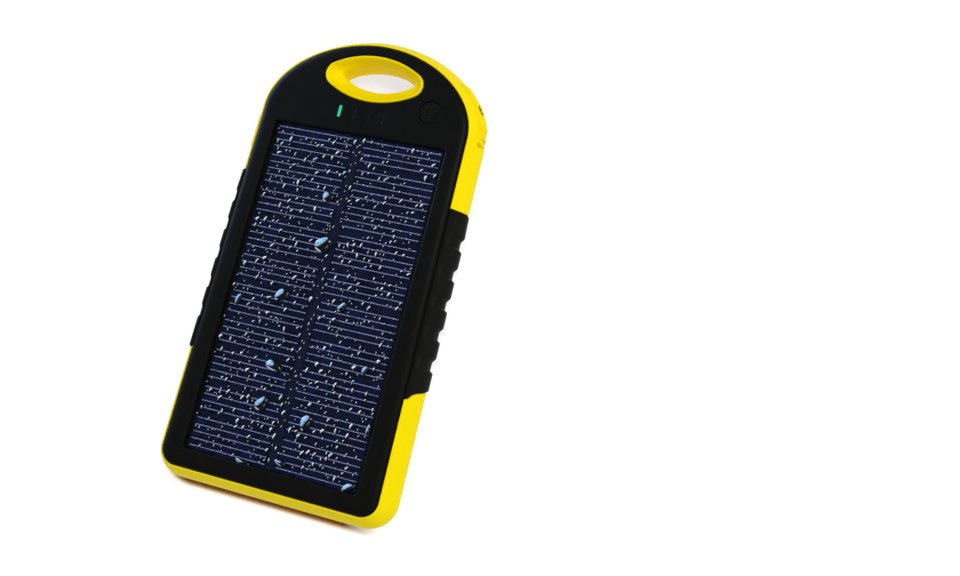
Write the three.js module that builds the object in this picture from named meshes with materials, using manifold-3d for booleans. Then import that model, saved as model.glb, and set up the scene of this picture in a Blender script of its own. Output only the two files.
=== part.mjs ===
// Rugged solar phone charger lying on its back.
// Millimetres. +X to the right, +Y towards the eye at the hanging end, +Z out of the solar face.
// The back rests on z = 0 and the body is centred on x = 0, y = 0.
import * as THREE from "three";
import { mergeVertices, toCreasedNormals } from "three/addons/utils/BufferGeometryUtils.js";
import Module from "manifold-3d";

const wasm = await Module();
wasm.setup();

// ---------------------------------------------------------------- driving dimensions
const bodyLength = 142; // hanging end to foot end, over the yellow frame
const bodyWidth = 75.2; // widest, near the foot end
const bodyTaper = 1.5; // the frame is this much narrower on each side at the shoulders
const bodyHeight = 13; // back to bezel
const archHeight = 27; // rise of the domed end above the straight sides
const archPower = 1.92; // 2 would be an ellipse, less is more pointed
const footCorner = 8.5; // corner radius of the frame at the foot end
const coverInset = 3.5; // the black cover stops this far inside the widest outline
const wall = 3.2; // frame wall
const plateBack = 1.6; // rear cover
const coverUnder = 11.0; // underside of the front cover's plate
const fit = 0.15; // gap all round between fitted shells
const linePitch = 2.037; // finger line to finger line
const lineExtra = 0.995; // extra space between two cells
const lineCounts = [4, 5, 4, 5, 4, 5, 4, 5, 4, 5]; // finger lines on each cell of a column
const firstLine = 37.93; // y of the first finger line
const panelHalf = 26.2; // half the width the finger lines cover
const centreBand = 3.7; // strip without finger lines between the columns
const windowMargin = 1.3; // from the finger lines to the window's edge
const windowDepth = 1.05; // bezel down to the sheet over the cells
const eyeY = 56.9; // centre of the eye
const eyeHalf = 15.7; // half its width over the yellow lip
const eyeRise = 7.2; // half its height over the lip
const eyeEnd = 4; // radius of its two ends
const throatHalf = 11.8;
const throatRise = 4.3;
const throatShift = 1.3; // the throat sits this much nearer the hanging end than the lip
const throatEnd = 0.9; // radius of its pointed ends
const buttonAt = [20.0, 49.5];
const buttonRadius = 3.45;
const slotXs = [-7.9, -3.4, 1.1, 5.6]; // four indicator slots
const slotY = 45.35;
const slotSize = [0.95, 3.8];
const portAngle = 31; // the shoulder ports face this far above the X axis
const portZ = 5.05; // height of the ports' centre line
const gripFrom = -30.5; // the grips run from here
const gripTo = 23.5; // to here
const notchFirst = 13.9; // finger notches in the grips
const notchPitch = 9.05;
const notchCount = 5;
const notchDepth = 0.95;
const notchFloor = 1.05; // half the flat floor of a notch
const notchSlope = 2.7; // where the slope into a notch starts
const notchStep = 2.0; // where the step out of it ends
const gripProud = 0.55; // lobes stand this far out of the frame
const gripEase = 0.25; // and this much less at the hanging end
const boardBottom = 8.2;
const boardTop = 9.2;
const batterySize = [56.6, 90, 6.6];
const batteryY = -19;
const screwSpots = [[30.8, -62], [30.6, -12], [30.4, 24], [19.4, 58.9]];
const shankRadius = 0.95;
const headRadius = 1.8;
const bossRadius = 1.75; // posts under the front cover that take the screws
const torchAt = [0, 41.5]; // torch in the rear cover

// ---------------------------------------------------------------- colours
const palette = {
  yellow: [0xf2de00, 0.42, 0],
  black: [0x121214, 0.55, 0],
  rubber: [0x151517, 0.75, 0],
  cell: [0x141c3c, 0.3, 0.1],
  sheet: [0x1a2244, 0.12, 0],
  board: [0x12442a, 0.5, 0],
  copper: [0xb8763a, 0.35, 0.9],
  steel: [0xb9bcc0, 0.3, 1],
  silver: [0xc9ccd2, 0.35, 0.6],
  white: [0xe8e8e6, 0.5, 0],
  clear: [0xbfd8d0, 0.2, 0],
  green: [0x3bdc9c, 0.3, 0],
  red: [0xc02020, 0.5, 0],
  dark: [0x24262a, 0.45, 0],
  foam: [0x3c3c40, 0.95, 0],
};

const group = new THREE.Group();
group.name = "solar_charger";

function add(name, geometry, colour) {
  const [hex, roughness, metalness] = palette[colour];
  const material = new THREE.MeshStandardMaterial({ color: hex, roughness, metalness });
  material.name = name;
  const mesh = new THREE.Mesh(geometry, material);
  mesh.name = name;
  group.add(mesh);
}

// ---------------------------------------------------------------- solids
function solid(geometry) {
  const bare = geometry.clone();
  bare.deleteAttribute("normal");
  bare.deleteAttribute("uv");
  const merged = mergeVertices(bare, 1e-4);
  const vertProperties = new Float32Array(merged.attributes.position.array);
  const triVerts = new Uint32Array(merged.index.array);
  return new wasm.Manifold(new wasm.Mesh({ numProp: 3, vertProperties, triVerts }));
}

function surface(manifold) {
  const mesh = manifold.simplify(0.004).getMesh();
  const geometry = new THREE.BufferGeometry();
  geometry.setAttribute("position", new THREE.BufferAttribute(new Float32Array(mesh.vertProperties), 3));
  geometry.setIndex(new THREE.BufferAttribute(new Uint32Array(mesh.triVerts), 1));
  return toCreasedNormals(geometry, 0.6);
}

function box(x0, x1, y0, y1, z0, z1) {
  const geometry = new THREE.BoxGeometry(x1 - x0, y1 - y0, z1 - z0);
  return geometry.translate((x0 + x1) / 2, (y0 + y1) / 2, (z0 + z1) / 2);
}

function post(x, y, radius, z0, z1, sides = 24, topRadius = radius) {
  const geometry = new THREE.CylinderGeometry(topRadius, radius, z1 - z0, sides);
  return geometry.rotateX(Math.PI / 2).translate(x, y, (z0 + z1) / 2);
}

// A closed solid through loops of [x, y] with the same count, one for each height.
function loft(loops, heights) {
  const count = loops[0].length;
  const positions = [];
  loops.forEach((loop, level) => loop.forEach(([x, y]) => positions.push(x, y, heights[level])));
  const index = [];
  for (let level = 0; level + 1 < loops.length; level += 1) {
    for (let i = 0; i < count; i += 1) {
      const a = level * count + i;
      const b = level * count + ((i + 1) % count);
      index.push(a, b, b + count, a, b + count, a + count);
    }
  }
  const last = (loops.length - 1) * count;
  const flat = (loop) => loop.map(([x, y]) => new THREE.Vector2(x, y));
  THREE.ShapeUtils.triangulateShape(flat(loops[0]), []).forEach(([a, b, c]) => index.push(a, c, b));
  THREE.ShapeUtils.triangulateShape(flat(loops[loops.length - 1]), []).forEach(([a, b, c]) => {
    index.push(last + a, last + b, last + c);
  });
  const geometry = new THREE.BufferGeometry();
  geometry.setAttribute("position", new THREE.Float32BufferAttribute(positions, 3));
  geometry.setIndex(index);
  return geometry;
}

function prism(loop, z0, z1) {
  return loft([loop, loop], [z0, z1]);
}

// ---------------------------------------------------------------- the outline
const archStart = bodyLength / 2 - archHeight;
const footY = -bodyLength / 2;

function halfAt(y) {
  const share = (archStart - y) / (archStart - footY - footCorner);
  return bodyWidth / 2 - bodyTaper * (1 - Math.min(Math.max(share, 0), 1));
}

// Right half of the widest outline, foot to top, as points.
function rightHalf(sideSteps) {
  const points = [];
  const cornerX = halfAt(footY + footCorner) - footCorner;
  const cornerY = footY + footCorner;
  points.push([0, footY]);
  for (let i = 0; i <= 10; i += 1) {
    const turn = -Math.PI / 2 + (Math.PI / 2) * (i / 10);
    points.push([cornerX + footCorner * Math.cos(turn), cornerY + footCorner * Math.sin(turn)]);
  }
  for (let i = 1; i < sideSteps; i += 1) {
    const y = cornerY + (archStart - cornerY) * (i / sideSteps);
    points.push([halfAt(y), y]);
  }
  const top = 22;
  for (let i = 0; i < top; i += 1) {
    const turn = (Math.PI / 2) * (i / top);
    const x = halfAt(archStart) * Math.cos(turn) ** (2 / archPower);
    const y = archStart + archHeight * Math.sin(turn) ** (2 / archPower);
    points.push([x, y]);
  }
  return points;
}

function wholeOutline(sideSteps = 6) {
  const right = rightHalf(sideSteps);
  const left = right.slice(1).reverse().map(([x, y]) => [-x, y]);
  return [...right, [0, bodyLength / 2], ...left];
}

// Normals of a closed counter-clockwise loop.
function normals(loop) {
  return loop.map((point, i) => {
    const before = loop[(i + loop.length - 1) % loop.length];
    const after = loop[(i + 1) % loop.length];
    const dx = after[0] - before[0];
    const dy = after[1] - before[1];
    const length = Math.hypot(dx, dy);
    return [dy / length, -dx / length];
  });
}

const outline = wholeOutline();
const outlineNormals = normals(outline);

function inset(distance) {
  return outline.map(([x, y], i) => {
    const [nx, ny] = outlineNormals[i];
    return [x - nx * distance, y - ny * distance];
  });
}

// The frame's side: how far inside the widest outline it is at each height.
const sideProfile = [
  [0.5, 2.6],
  [0.9, 1.65],
  [1.6, 0.8],
  [2.6, 0.2],
  [3.6, 0],
  [5.5, 0],
  [7.0, 0.42],
  [8.2, 0.95],
  [9.5, 1.62],
  [11.0, 2.4],
  [11.75, 2.85],
  [12.0, 3.1],
];

function shell(extra) {
  const loops = sideProfile.map(([, distance]) => inset(distance + extra));
  return loft(loops, sideProfile.map(([z]) => z));
}

const outerBody = solid(shell(0));

// ---------------------------------------------------------------- the eye
// Two wide arcs joined by two small ones.
function eyeLoop(half, rise, end, centreY) {
  const reach = half - end;
  const drop = (reach * reach - (rise - end) ** 2) / (2 * (rise - end));
  const radius = rise + drop;
  const endTurn = Math.atan2(drop, reach);
  const loop = [];
  const arc = (cx, cy, r, from, to, steps) => {
    for (let i = 0; i < steps; i += 1) {
      const turn = from + ((to - from) * i) / steps;
      loop.push([cx + r * Math.cos(turn), centreY + cy + r * Math.sin(turn)]);
    }
  };
  arc(reach, 0, end, -endTurn, endTurn, 8);
  arc(0, -drop, radius, endTurn, Math.PI - endTurn, 14);
  arc(-reach, 0, end, Math.PI - endTurn, Math.PI + endTurn, 8);
  arc(0, drop, radius, Math.PI + endTurn, 2 * Math.PI - endTurn, 14);
  return loop;
}

const throatY = eyeY + throatShift;
const throat = loft(
  [
    eyeLoop(14.9, 6.5, 3.6, eyeY),
    eyeLoop(13.9, 5.7, 2.9, eyeY + 0.3),
    eyeLoop(throatHalf, throatRise, throatEnd, throatY),
    eyeLoop(throatHalf, throatRise, throatEnd, throatY),
    eyeLoop(12.9, 4.9, 1.6, eyeY + 0.9),
    eyeLoop(13.7, 5.55, 2.6, eyeY + 0.4),
    eyeLoop(14.5, 6.2, 3.2, eyeY + 0.1),
    eyeLoop(15.0, 6.65, 3.6, eyeY),
    eyeLoop(15.1, 6.75, 3.7, eyeY),
  ],
  [-0.2, 1.0, 3.0, 9.4, 10.4, 11.4, 12.3, 12.85, 13.4],
);
const ringBody = loft(
  [
    eyeLoop(eyeHalf - 0.35, eyeRise - 0.35, eyeEnd - 0.35, eyeY),
    eyeLoop(eyeHalf, eyeRise, eyeEnd, eyeY),
    eyeLoop(eyeHalf, eyeRise, eyeEnd, eyeY),
    eyeLoop(eyeHalf - 0.22, eyeRise - 0.22, eyeEnd - 0.22, eyeY),
  ],
  [0.1, 0.5, 12.75, 13.05],
);
add("eye_ring", surface(solid(ringBody).subtract(solid(throat))), "yellow");
const eyeHole = eyeLoop(eyeHalf + fit, eyeRise + fit, eyeEnd + fit, eyeY);

// ---------------------------------------------------------------- panel window
const cellTops = [];
let nextLine = firstLine;
lineCounts.forEach((lines) => {
  cellTops.push({ first: nextLine, lines });
  nextLine -= lines * linePitch + lineExtra;
});
const lastLine = nextLine + linePitch + lineExtra;
const windowTop = firstLine + windowMargin;
const windowFoot = lastLine - windowMargin;
const windowHalf = panelHalf + windowMargin;
const sheetTop = bodyHeight - windowDepth;
const substrateBottom = 10.35;
const shelf = 1.4; // ledge under the panel's edge
const lipWidth = 1.3; // rim that holds the panel, round the window

function roundedLoop(x0, x1, y0, y1, radius, steps = 4) {
  const loop = [];
  const corners = [
    [x1, y0, -90, -1, 1],
    [x1, y1, 0, -1, -1],
    [x0, y1, 90, 1, -1],
    [x0, y0, 180, 1, 1],
  ];
  corners.forEach(([x, y, start, sx, sy]) => {
    for (let i = 0; i <= steps; i += 1) {
      const turn = THREE.MathUtils.degToRad(start + (90 * i) / steps);
      loop.push([x + radius * (sx + Math.cos(turn)), y + radius * (sy + Math.sin(turn))]);
    }
  });
  return loop;
}

// The window's outline, larger by grow all round.
function windowLoop(grow, radius, steps = 4) {
  const x = windowHalf + grow;
  return roundedLoop(-x, x, windowFoot - grow, windowTop + grow, radius, steps);
}

// One slot's outline, smaller by cut all round.
function slotLoop(x, cut) {
  const w = slotSize[0] / 2 - cut;
  const h = slotSize[1] / 2 - cut;
  return roundedLoop(x - w, x + w, slotY - h, slotY + h, 0.42 - cut, 3);
}

// Runs use(x, y, label) at each of the eight screws.
function eachScrew(use) {
  screwSpots.forEach(([x, y], i) => {
    use(x, y, `right_${i + 1}`);
    use(-x, y, `left_${i + 1}`);
  });
}

// ---------------------------------------------------------------- front cover
const [bx, by] = buttonAt;
const coverEdge = [
  [0, coverUnder],
  [0, 11.95],
  [0.25, 12.35],
  [0.85, 12.7],
  [1.9, 12.92],
  [3.6, bodyHeight],
];
const coverLoops = coverEdge.map(([back]) => inset(coverInset + back));
let cover = solid(loft(coverLoops, coverEdge.map(([, z]) => z)));
cover = cover.add(solid(prism(windowLoop(lipWidth, 1.6), substrateBottom - 0.75, coverUnder + 0.2)));
eachScrew((x, y) => {
  cover = cover.add(solid(post(x, y, bossRadius, plateBack + 0.1, coverUnder + 0.2, 14)));
});
const windowLoops = [windowLoop(0, 0.8), windowLoop(0, 0.8), windowLoop(0.5, 1.3)];
cover = cover.subtract(solid(loft(windowLoops, [substrateBottom - 0.05, 12.6, bodyHeight + 0.02])));
cover = cover.subtract(solid(prism(windowLoop(-shelf, 1), 9, 11)));
cover = cover.subtract(solid(prism(eyeHole, 9, 14)));
cover = cover.subtract(solid(post(bx, by, buttonRadius + 0.12, 10, 14, 32)));
slotXs.forEach((x) => {
  cover = cover.subtract(solid(prism(slotLoop(x, 0), 10, 14)));
});
eachScrew((x, y) => {
  cover = cover.subtract(solid(post(x, y, shankRadius + 0.11, 1, 7.6, 12)));
});
add("front_cover", surface(cover), "black");

// ---------------------------------------------------------------- frame, ports and flaps
let frame = outerBody;
frame = frame.subtract(solid(prism(inset(coverInset - fit), 10.4, 13)));
frame = frame.subtract(solid(prism(inset(5.0), 9.3, 11)));
frame = frame.subtract(solid(prism(inset(wall), -1, 9.4)));

function clearPosts(body) {
  let cleared = body;
  eachScrew((x, y) => {
    cleared = cleared.subtract(solid(post(x, y, bossRadius + fit, 9.2, 11, 14)));
  });
  return cleared;
}
frame = clearPosts(frame);

// The grips' seat in the frame's sides, and the grips' inner face, a little outside it.
const gripSeat = 1.2;
const core = solid(shell(gripSeat));
const coreLoose = solid(shell(gripSeat - 0.12));

// A side band seen from the side, as [y, z], pushed through one side wall.
function band(side, grow) {
  const shape = new THREE.Shape();
  const corners = [
    [gripTo - 0.8 + grow, 12.8],
    [gripTo - 0.3 + grow, 5.5],
    [gripTo - 0.5 + grow, 0.1],
    [gripFrom + 1.6 - grow, 0.1],
    [gripFrom + 0.4 - grow, 5.0],
    [gripFrom - 0.4 - grow, 8.6],
    [gripFrom - 1.4 - grow, 10.8],
    [gripFrom - 3.6 - grow, 12.8],
  ];
  corners.forEach(([y, z], i) => (i === 0 ? shape.moveTo(y, z) : shape.lineTo(y, z)));
  const geometry = new THREE.ExtrudeGeometry(shape, { depth: 20, bevelEnabled: false });
  geometry.rotateX(Math.PI / 2).rotateZ(Math.PI / 2);
  geometry.translate(side > 0 ? 22 : -42, 0, 0); // wall to past the outside
  return solid(geometry);
}

// Depth of the finger notches, from 0 to 1: a long slope down, a flat floor and a steep way out.
function notchAt(y) {
  let depth = 0;
  for (let i = 0; i < notchCount; i += 1) {
    const away = y - (notchFirst - i * notchPitch);
    const slope = THREE.MathUtils.smoothstep(-away, -notchSlope, -notchFloor);
    const step = 1 - THREE.MathUtils.smoothstep(-away, notchFloor, notchStep);
    depth = Math.max(depth, slope * step);
  }
  return depth;
}

function gripLoop(distance, depth) {
  const points = [[10, -45]];
  const steps = 96;
  for (let i = 0; i <= steps; i += 1) {
    const y = -40 + 72 * (i / steps);
    const proud = gripProud - gripEase * THREE.MathUtils.smoothstep(y, notchFirst, gripTo);
    points.push([halfAt(y) + proud - depth * notchAt(y) - distance, y]);
  }
  points.push([10, 40]);
  return points;
}
const gripSection = sideProfile.filter((row, i) => [0, 2, 4, 5, 7, 8, 9, 11].includes(i));

function grip(side) {
  const loops = gripSection.map(([z, distance]) => {
    const fade = THREE.MathUtils.smoothstep(z, 9, 13);
    return gripLoop(distance * 0.96, notchDepth * (1 - 0.7 * fade));
  });
  let body = solid(loft(loops, gripSection.map(([z]) => z)));
  if (side < 0) {
    body = body.mirror([1, 0, 0]);
  }
  body = body.intersect(band(side, -0.12)).subtract(coreLoose);
  const coverSide = solid(prism(inset(coverInset - fit), 9, 14));
  const rearSide = solid(prism(inset(wall), -1, 2.4));
  return body.subtract(coverSide).subtract(rearSide);
}

[1, -1].forEach((side) => {
  frame = frame.subtract(band(side, 0).subtract(core));
});
add("grip_right", surface(grip(1)), "rubber");
add("grip_left", surface(grip(-1)), "rubber");

// A port's place: the outline point whose normal points at the angle, or the point at a height y.
function place(test) {
  let best = 0;
  outline.forEach((point, i) => {
    if (test(i) < test(best)) {
      best = i;
    }
  });
  const [x, y] = outline[best];
  const [nx, ny] = outlineNormals[best];
  return { x, y, angle: Math.atan2(ny, nx) };
}

function facing(degrees) {
  const want = THREE.MathUtils.degToRad(degrees);
  return place((i) => Math.abs(Math.atan2(outlineNormals[i][1], outlineNormals[i][0]) - want));
}

// Local x is outwards, local y runs along the wall, local z is up. mirror puts it on the left side.
function put(geometry, spot, mirror) {
  const matrix = new THREE.Matrix4().makeRotationZ(spot.angle).setPosition(spot.x, spot.y, 0);
  geometry.applyMatrix4(matrix);
  if (!mirror) {
    return solid(geometry);
  }
  return solid(geometry).mirror([1, 0, 0]);
}

// How far the widest outline falls behind the tangent at this distance along it.
function outsideAt(spot, along) {
  const local = outline.map(([x, y]) => {
    const dx = x - spot.x;
    const dy = y - spot.y;
    const s = -dx * Math.sin(spot.angle) + dy * Math.cos(spot.angle);
    return [s, dx * Math.cos(spot.angle) + dy * Math.sin(spot.angle)];
  });
  let behind = 0;
  local.forEach(([s, n], i) => {
    const [nextS, nextN] = local[(i + 1) % local.length];
    if (n > -12 && s <= along && nextS > along) {
      behind = n + ((nextN - n) * (along - s)) / (nextS - s);
    }
  });
  return behind;
}

const pinRadius = 0.45;
const pinFoot = 1.2; // the pins' lower end
const pinTop = 9.3;
const knuckle = 1.4; // radius of the flap's round end
const pinDepth = 2.15; // the pin sits this far inside the widest outline
const pinEnd = 0.6; // and this far from the flap's end
const flapBack = 3.1; // flap's inner face, behind the tangent
const flapProud = 0.45; // the flaps stand this far out of the frame
const flapStep = 2.3; // from the pin to where they do
const pocketBlock = 6.3; // depth of the frame behind a flap

const proudBody = solid(shell(-flapProud));

function port(label, spot, mirror, half, plug, socket, z0, z1) {
  const [socketWide, socketHigh, socketLong] = socket;
  const pinAt = -half + pinEnd;
  const pinIn = outsideAt(spot, pinAt) - pinDepth;
  const piece = (geometry) => put(geometry, spot, mirror);
  const block = piece(box(-pocketBlock, 1, -half - 2, half + 2, plateBack + 0.1, 9.4));
  frame = frame.add(block.intersect(solid(shell(0.5))));
  const pocketEnd = pinAt - pinDepth - 0.45;
  frame = frame.subtract(piece(box(-flapBack - 0.25, 6, pocketEnd, half + 0.1, z0, z1)));
  frame = frame.subtract(piece(box(pinIn - 0.15, 0, pocketEnd, pinAt, z0, z1)));
  frame = frame.subtract(piece(post(pinIn, pinAt, knuckle + 0.2, z0, z1, 32)));
  frame = frame.subtract(piece(post(pinIn, pinAt, pinRadius + 0.03, pinFoot - 0.05, pinTop + 0.05, 16)));
  const wide = socketWide / 2 + 0.2;
  const high = socketHigh / 2 + 0.2;
  frame = frame.subtract(piece(box(-9, -flapBack, -wide, wide, portZ - high, portZ + high)));

  const [plugWide, plugHigh, plugLong] = plug;
  let flap = piece(box(-flapBack, 6, pinAt, half - 0.2, z0 + 0.2, z1 - 0.2)).intersect(outerBody);
  flap = flap.add(piece(post(pinIn, pinAt, knuckle, z0 + 0.2, z1 - 0.2, 32)).intersect(outerBody));
  const pad = piece(box(-flapBack, 6, pinAt + flapStep, half - 0.2, z0 + 0.2, z1 - 0.2));
  flap = flap.add(pad.intersect(proudBody));
  const stem = [portZ - plugHigh / 2, portZ + plugHigh / 2];
  const stemHalf = plugWide / 2;
  flap = flap.add(piece(box(-flapBack - plugLong, -flapBack + 0.3, -stemHalf, stemHalf, ...stem)));
  flap = flap.subtract(piece(post(pinIn, pinAt, pinRadius + 0.08, 0, 12, 16)));
  flap = flap.subtract(piece(post(1.65, 0.3, 2.1, portZ + 0.1, portZ + 1.8, 20))); // nail notch
  add(`port_flap_${label}`, surface(flap), "yellow");
  add(`flap_pin_${label}`, surface(piece(post(pinIn, pinAt, pinRadius, pinFoot, pinTop, 16))), "steel");

  const front = -flapBack - 0.3;
  const back = front - socketLong;
  const low = portZ - socketHigh / 2;
  const top = portZ + socketHigh / 2;
  let can = piece(box(back, front, -socketWide / 2, socketWide / 2, low, top));
  const skin = 0.35;
  const room = socketWide / 2 - skin;
  can = can.subtract(piece(box(back + skin, front + 1, -room, room, low + skin, top - skin)));
  add(`usb_shell_${label}`, surface(can), "steel");
  const tongueHalf = room - 0.5;
  const tongueTip = front - plugLong - 0.4;
  const tongueTop = top - skin - socketHigh * 0.16;
  const tongueFoot = tongueTop - socketHigh * 0.3;
  const tongue = box(back + skin + 0.05, tongueTip, -tongueHalf, tongueHalf, tongueFoot, tongueTop);
  add(`usb_tongue_${label}`, surface(piece(tongue)), socketWide > 10 ? "white" : "dark");
}

const shoulder = facing(portAngle);
const microY = 34.8;
const flankLean = Math.atan(halfAt(microY - 1) - halfAt(microY));
const flank = { x: halfAt(microY), y: microY, angle: flankLean };
const usbA = [13.1, 5.7, 14];
port("right", shoulder, false, 9.3, [11, 3.9, 1.2], usbA, 1.9, 8.6);
port("left", shoulder, true, 9.3, [11, 3.9, 1.2], usbA, 1.9, 8.6);
port("micro", flank, true, 6.6, [5.6, 1.5, 0.9], [7.6, 2.9, 5.6], 2.6, 7.8);
add("mid_frame", surface(frame), "yellow");

// ---------------------------------------------------------------- rear cover
const rearLoops = [4.3, 3.65, 3.4, 3.4].map(inset);
let rear = solid(loft(rearLoops, [0, 0.3, 0.75, plateBack]));
rear = rear.subtract(solid(prism(eyeHole, -1, 3)));
const [torchX, torchY] = torchAt;
const lensRadius = 4.2;
const torchRadius = 2.5;
rear = rear.subtract(solid(post(torchX, torchY, lensRadius + fit, -1, 0.9, 28)));
rear = rear.subtract(solid(post(torchX, torchY, torchRadius + fit, -1, 3, 24)));
eachScrew((x, y) => {
  rear = rear.subtract(solid(post(x, y, headRadius + 0.2, -1, 1.0, 14)));
  rear = rear.subtract(solid(post(x, y, shankRadius + 0.2, -1, 3, 12)));
});
add("rear_cover", surface(rear), "black");

// ---------------------------------------------------------------- gasket
const gasketOuter = solid(prism(inset(3.65), 10.45, 10.9));
const gasketInner = solid(prism(inset(4.75), 10, 12));
add("cover_gasket", surface(clearPosts(gasketOuter.subtract(gasketInner))), "rubber");

// ---------------------------------------------------------------- power button and switch
let button = solid(post(bx, by, buttonRadius, 11.4, 12.82, 32));
button = button.add(solid(post(bx, by, buttonRadius - 0.25, 12.81, 12.98, 32)));
button = button.add(solid(post(bx, by, 1.3, 10.95, 11.5, 16)));
const symbolArc = new THREE.Shape();
const gapTurn = 0.62;
symbolArc.absarc(0, 0, 1.75, Math.PI / 2 + gapTurn, Math.PI * 2.5 - gapTurn, false);
symbolArc.absarc(0, 0, 1.4, Math.PI * 2.5 - gapTurn, Math.PI / 2 + gapTurn, true);
const arcOptions = { depth: 0.22, bevelEnabled: false, curveSegments: 10 };
const arcGeometry = new THREE.ExtrudeGeometry(symbolArc, arcOptions);
button = button.add(solid(arcGeometry.translate(bx, by, 12.9)));
button = button.add(solid(box(bx - 0.18, bx + 0.18, by + 0.35, by + 2.0, 12.9, 13.12)));
add("power_button", surface(button), "rubber");

let switchBody = solid(box(bx - 2.6, bx + 2.6, by - 2.6, by + 2.6, boardTop + 0.03, 10.3));
switchBody = switchBody.subtract(solid(post(bx, by, 1.25, 9.5, 11, 20)));
add("switch_body", surface(switchBody), "steel");
add("switch_plunger", post(bx, by, 1.15, 9.85, 10.75, 20), "dark");

// ---------------------------------------------------------------- indicators
slotXs.forEach((x, i) => {
  add(`light_pipe_${i + 1}`, prism(slotLoop(x, 0.06), 10.3, 12.86), i === 0 ? "green" : "clear");
  const led = box(x - 0.4, x + 0.4, slotY - 0.8, slotY + 0.8, boardTop + 0.03, 9.85);
  add(`indicator_led_${i + 1}`, led, "white");
});

// ---------------------------------------------------------------- main board
const boardShape = new THREE.Shape();
const boardRight = [
  [26, 29.6],
  [27.3, 39],
  [27.3, 48],
  [24.2, 53.6],
  [18.2, 53.6],
  [16.2, 50],
  [12, 48.4],
];
boardShape.moveTo(-boardRight[0][0], boardRight[0][1]);
boardRight.forEach(([x, y]) => boardShape.lineTo(x, y));
[...boardRight].reverse().forEach(([x, y]) => boardShape.lineTo(-x, y));
const boardOptions = { depth: boardTop - boardBottom, bevelEnabled: false };
const boardGeometry = new THREE.ExtrudeGeometry(boardShape, boardOptions);
let board = solid(boardGeometry.translate(0, 0, boardBottom));
[-22, 22].forEach((x) => {
  board = board.subtract(solid(post(x, 33, 1.1, 7, 11, 16)));
});
add("main_board", surface(board), "board");
const partsTop = boardBottom - 0.03; // parts hang under the board
const inductor = prism(roundedLoop(-11, -5, 32, 38, 1.2), 5.6, partsTop);
add("boost_inductor", surface(solid(inductor)), "dark");
add("controller_chip", box(4, 9, 32.5, 37.5, 7.1, partsTop), "dark");
add("charger_chip", box(12, 16, 33, 37, 7.2, partsTop), "dark");
const capacitor = prism(roundedLoop(-18, -14.5, 32, 38, 0.8), 5.4, partsTop);
add("bulk_capacitor", surface(solid(capacitor)), "copper");

// ---------------------------------------------------------------- torch
let torch = solid(post(torchX, torchY, torchRadius, 1.1, 5.2, 24));
torch = torch.add(solid(post(torchX, torchY, torchRadius + 0.4, 4.6, 5.4, 24)));
[torchX - 1.27, torchX + 1.27].forEach((x) => {
  const leg = box(x - 0.25, x + 0.25, torchY - 0.25, torchY + 0.25, 5.3, partsTop);
  torch = torch.add(solid(leg));
});
add("torch_led", surface(torch), "clear");
const lensProfile = [
  [0, 0.12],
  [lensRadius - 0.5, 0.12],
  [lensRadius, 0.3],
  [lensRadius, 0.8],
  [0, 0.8],
];
const lens = new THREE.LatheGeometry(lensProfile.map(([r, z]) => new THREE.Vector2(r, z)), 24);
lens.rotateX(Math.PI / 2).translate(torchX, torchY, 0);
add("torch_lens", lens, "clear");

// ---------------------------------------------------------------- solar panel
const panelLoop = windowLoop(-0.12, 0.7, 3);
add("panel_substrate", prism(panelLoop, substrateBottom, 11.15), "board");
const cellBottom = 11.18;
const cellTop = 11.4;
const cellGap = 0.6; // between one cell and the next
const ribbonHalf = 0.6;

function cellString(side) {
  const inner = centreBand / 2 - 0.6;
  const outer = panelHalf + 0.5;
  let string = null;
  cellTops.forEach(({ first, lines }) => {
    const past = (linePitch + lineExtra - cellGap) / 2;
    const top = first + past;
    const foot = first - (lines - 1) * linePitch - past;
    const x0 = side > 0 ? inner : -outer;
    const x1 = side > 0 ? outer : -inner;
    const cell = solid(box(x0, x1, foot, top, cellBottom, cellTop));
    string = string ? string.add(cell) : cell;
  });
  // Two ribbons join the ten cells.
  [0.33, 0.67].forEach((share) => {
    const x = side * (inner + (outer - inner) * share);
    const ends = [lastLine - 0.5, firstLine + 0.5];
    const ribbon = box(x - ribbonHalf, x + ribbonHalf, ...ends, cellBottom + 0.02, cellTop + 0.06);
    string = string.add(solid(ribbon));
  });
  return surface(string);
}
add("cell_string_left", cellString(-1), "cell");
add("cell_string_right", cellString(1), "cell");
add("panel_sheet", prism(panelLoop, 11.5, sheetTop), "sheet");

// ---------------------------------------------------------------- battery
const [batteryWide, batteryLong, batteryThick] = batterySize;
const batteryFoot = 2.15;
const batteryTop = batteryFoot + batteryThick;
const batteryHalf = batteryWide / 2;
const batteryEnd = batteryY + batteryLong / 2;
const pouchEdge = [
  [1.0, batteryFoot],
  [0.3, batteryFoot + 0.25],
  [0, batteryFoot + 0.9],
  [0, batteryTop - 0.9],
  [0.3, batteryTop - 0.25],
  [1.0, batteryTop],
];
const pouchLoops = pouchEdge.map(([cut]) => {
  const x = batteryHalf - cut;
  const y = batteryLong / 2 - cut;
  return roundedLoop(-x, x, batteryY - y, batteryY + y, 2.4 - cut);
});
add("battery_pouch", loft(pouchLoops, pouchEdge.map(([, z]) => z)), "silver");
const padHalf = [batteryHalf - 3, 40];
const padEnds = [-padHalf[0], padHalf[0], batteryY - padHalf[1], batteryY + padHalf[1]];
add("battery_pad", box(...padEnds, plateBack + 0.03, batteryFoot - 0.03), "foam");
add("protection_board", box(-15, 15, batteryEnd + 0.25, batteryEnd + 1.25, 2.9, 7.4), "board");

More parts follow.
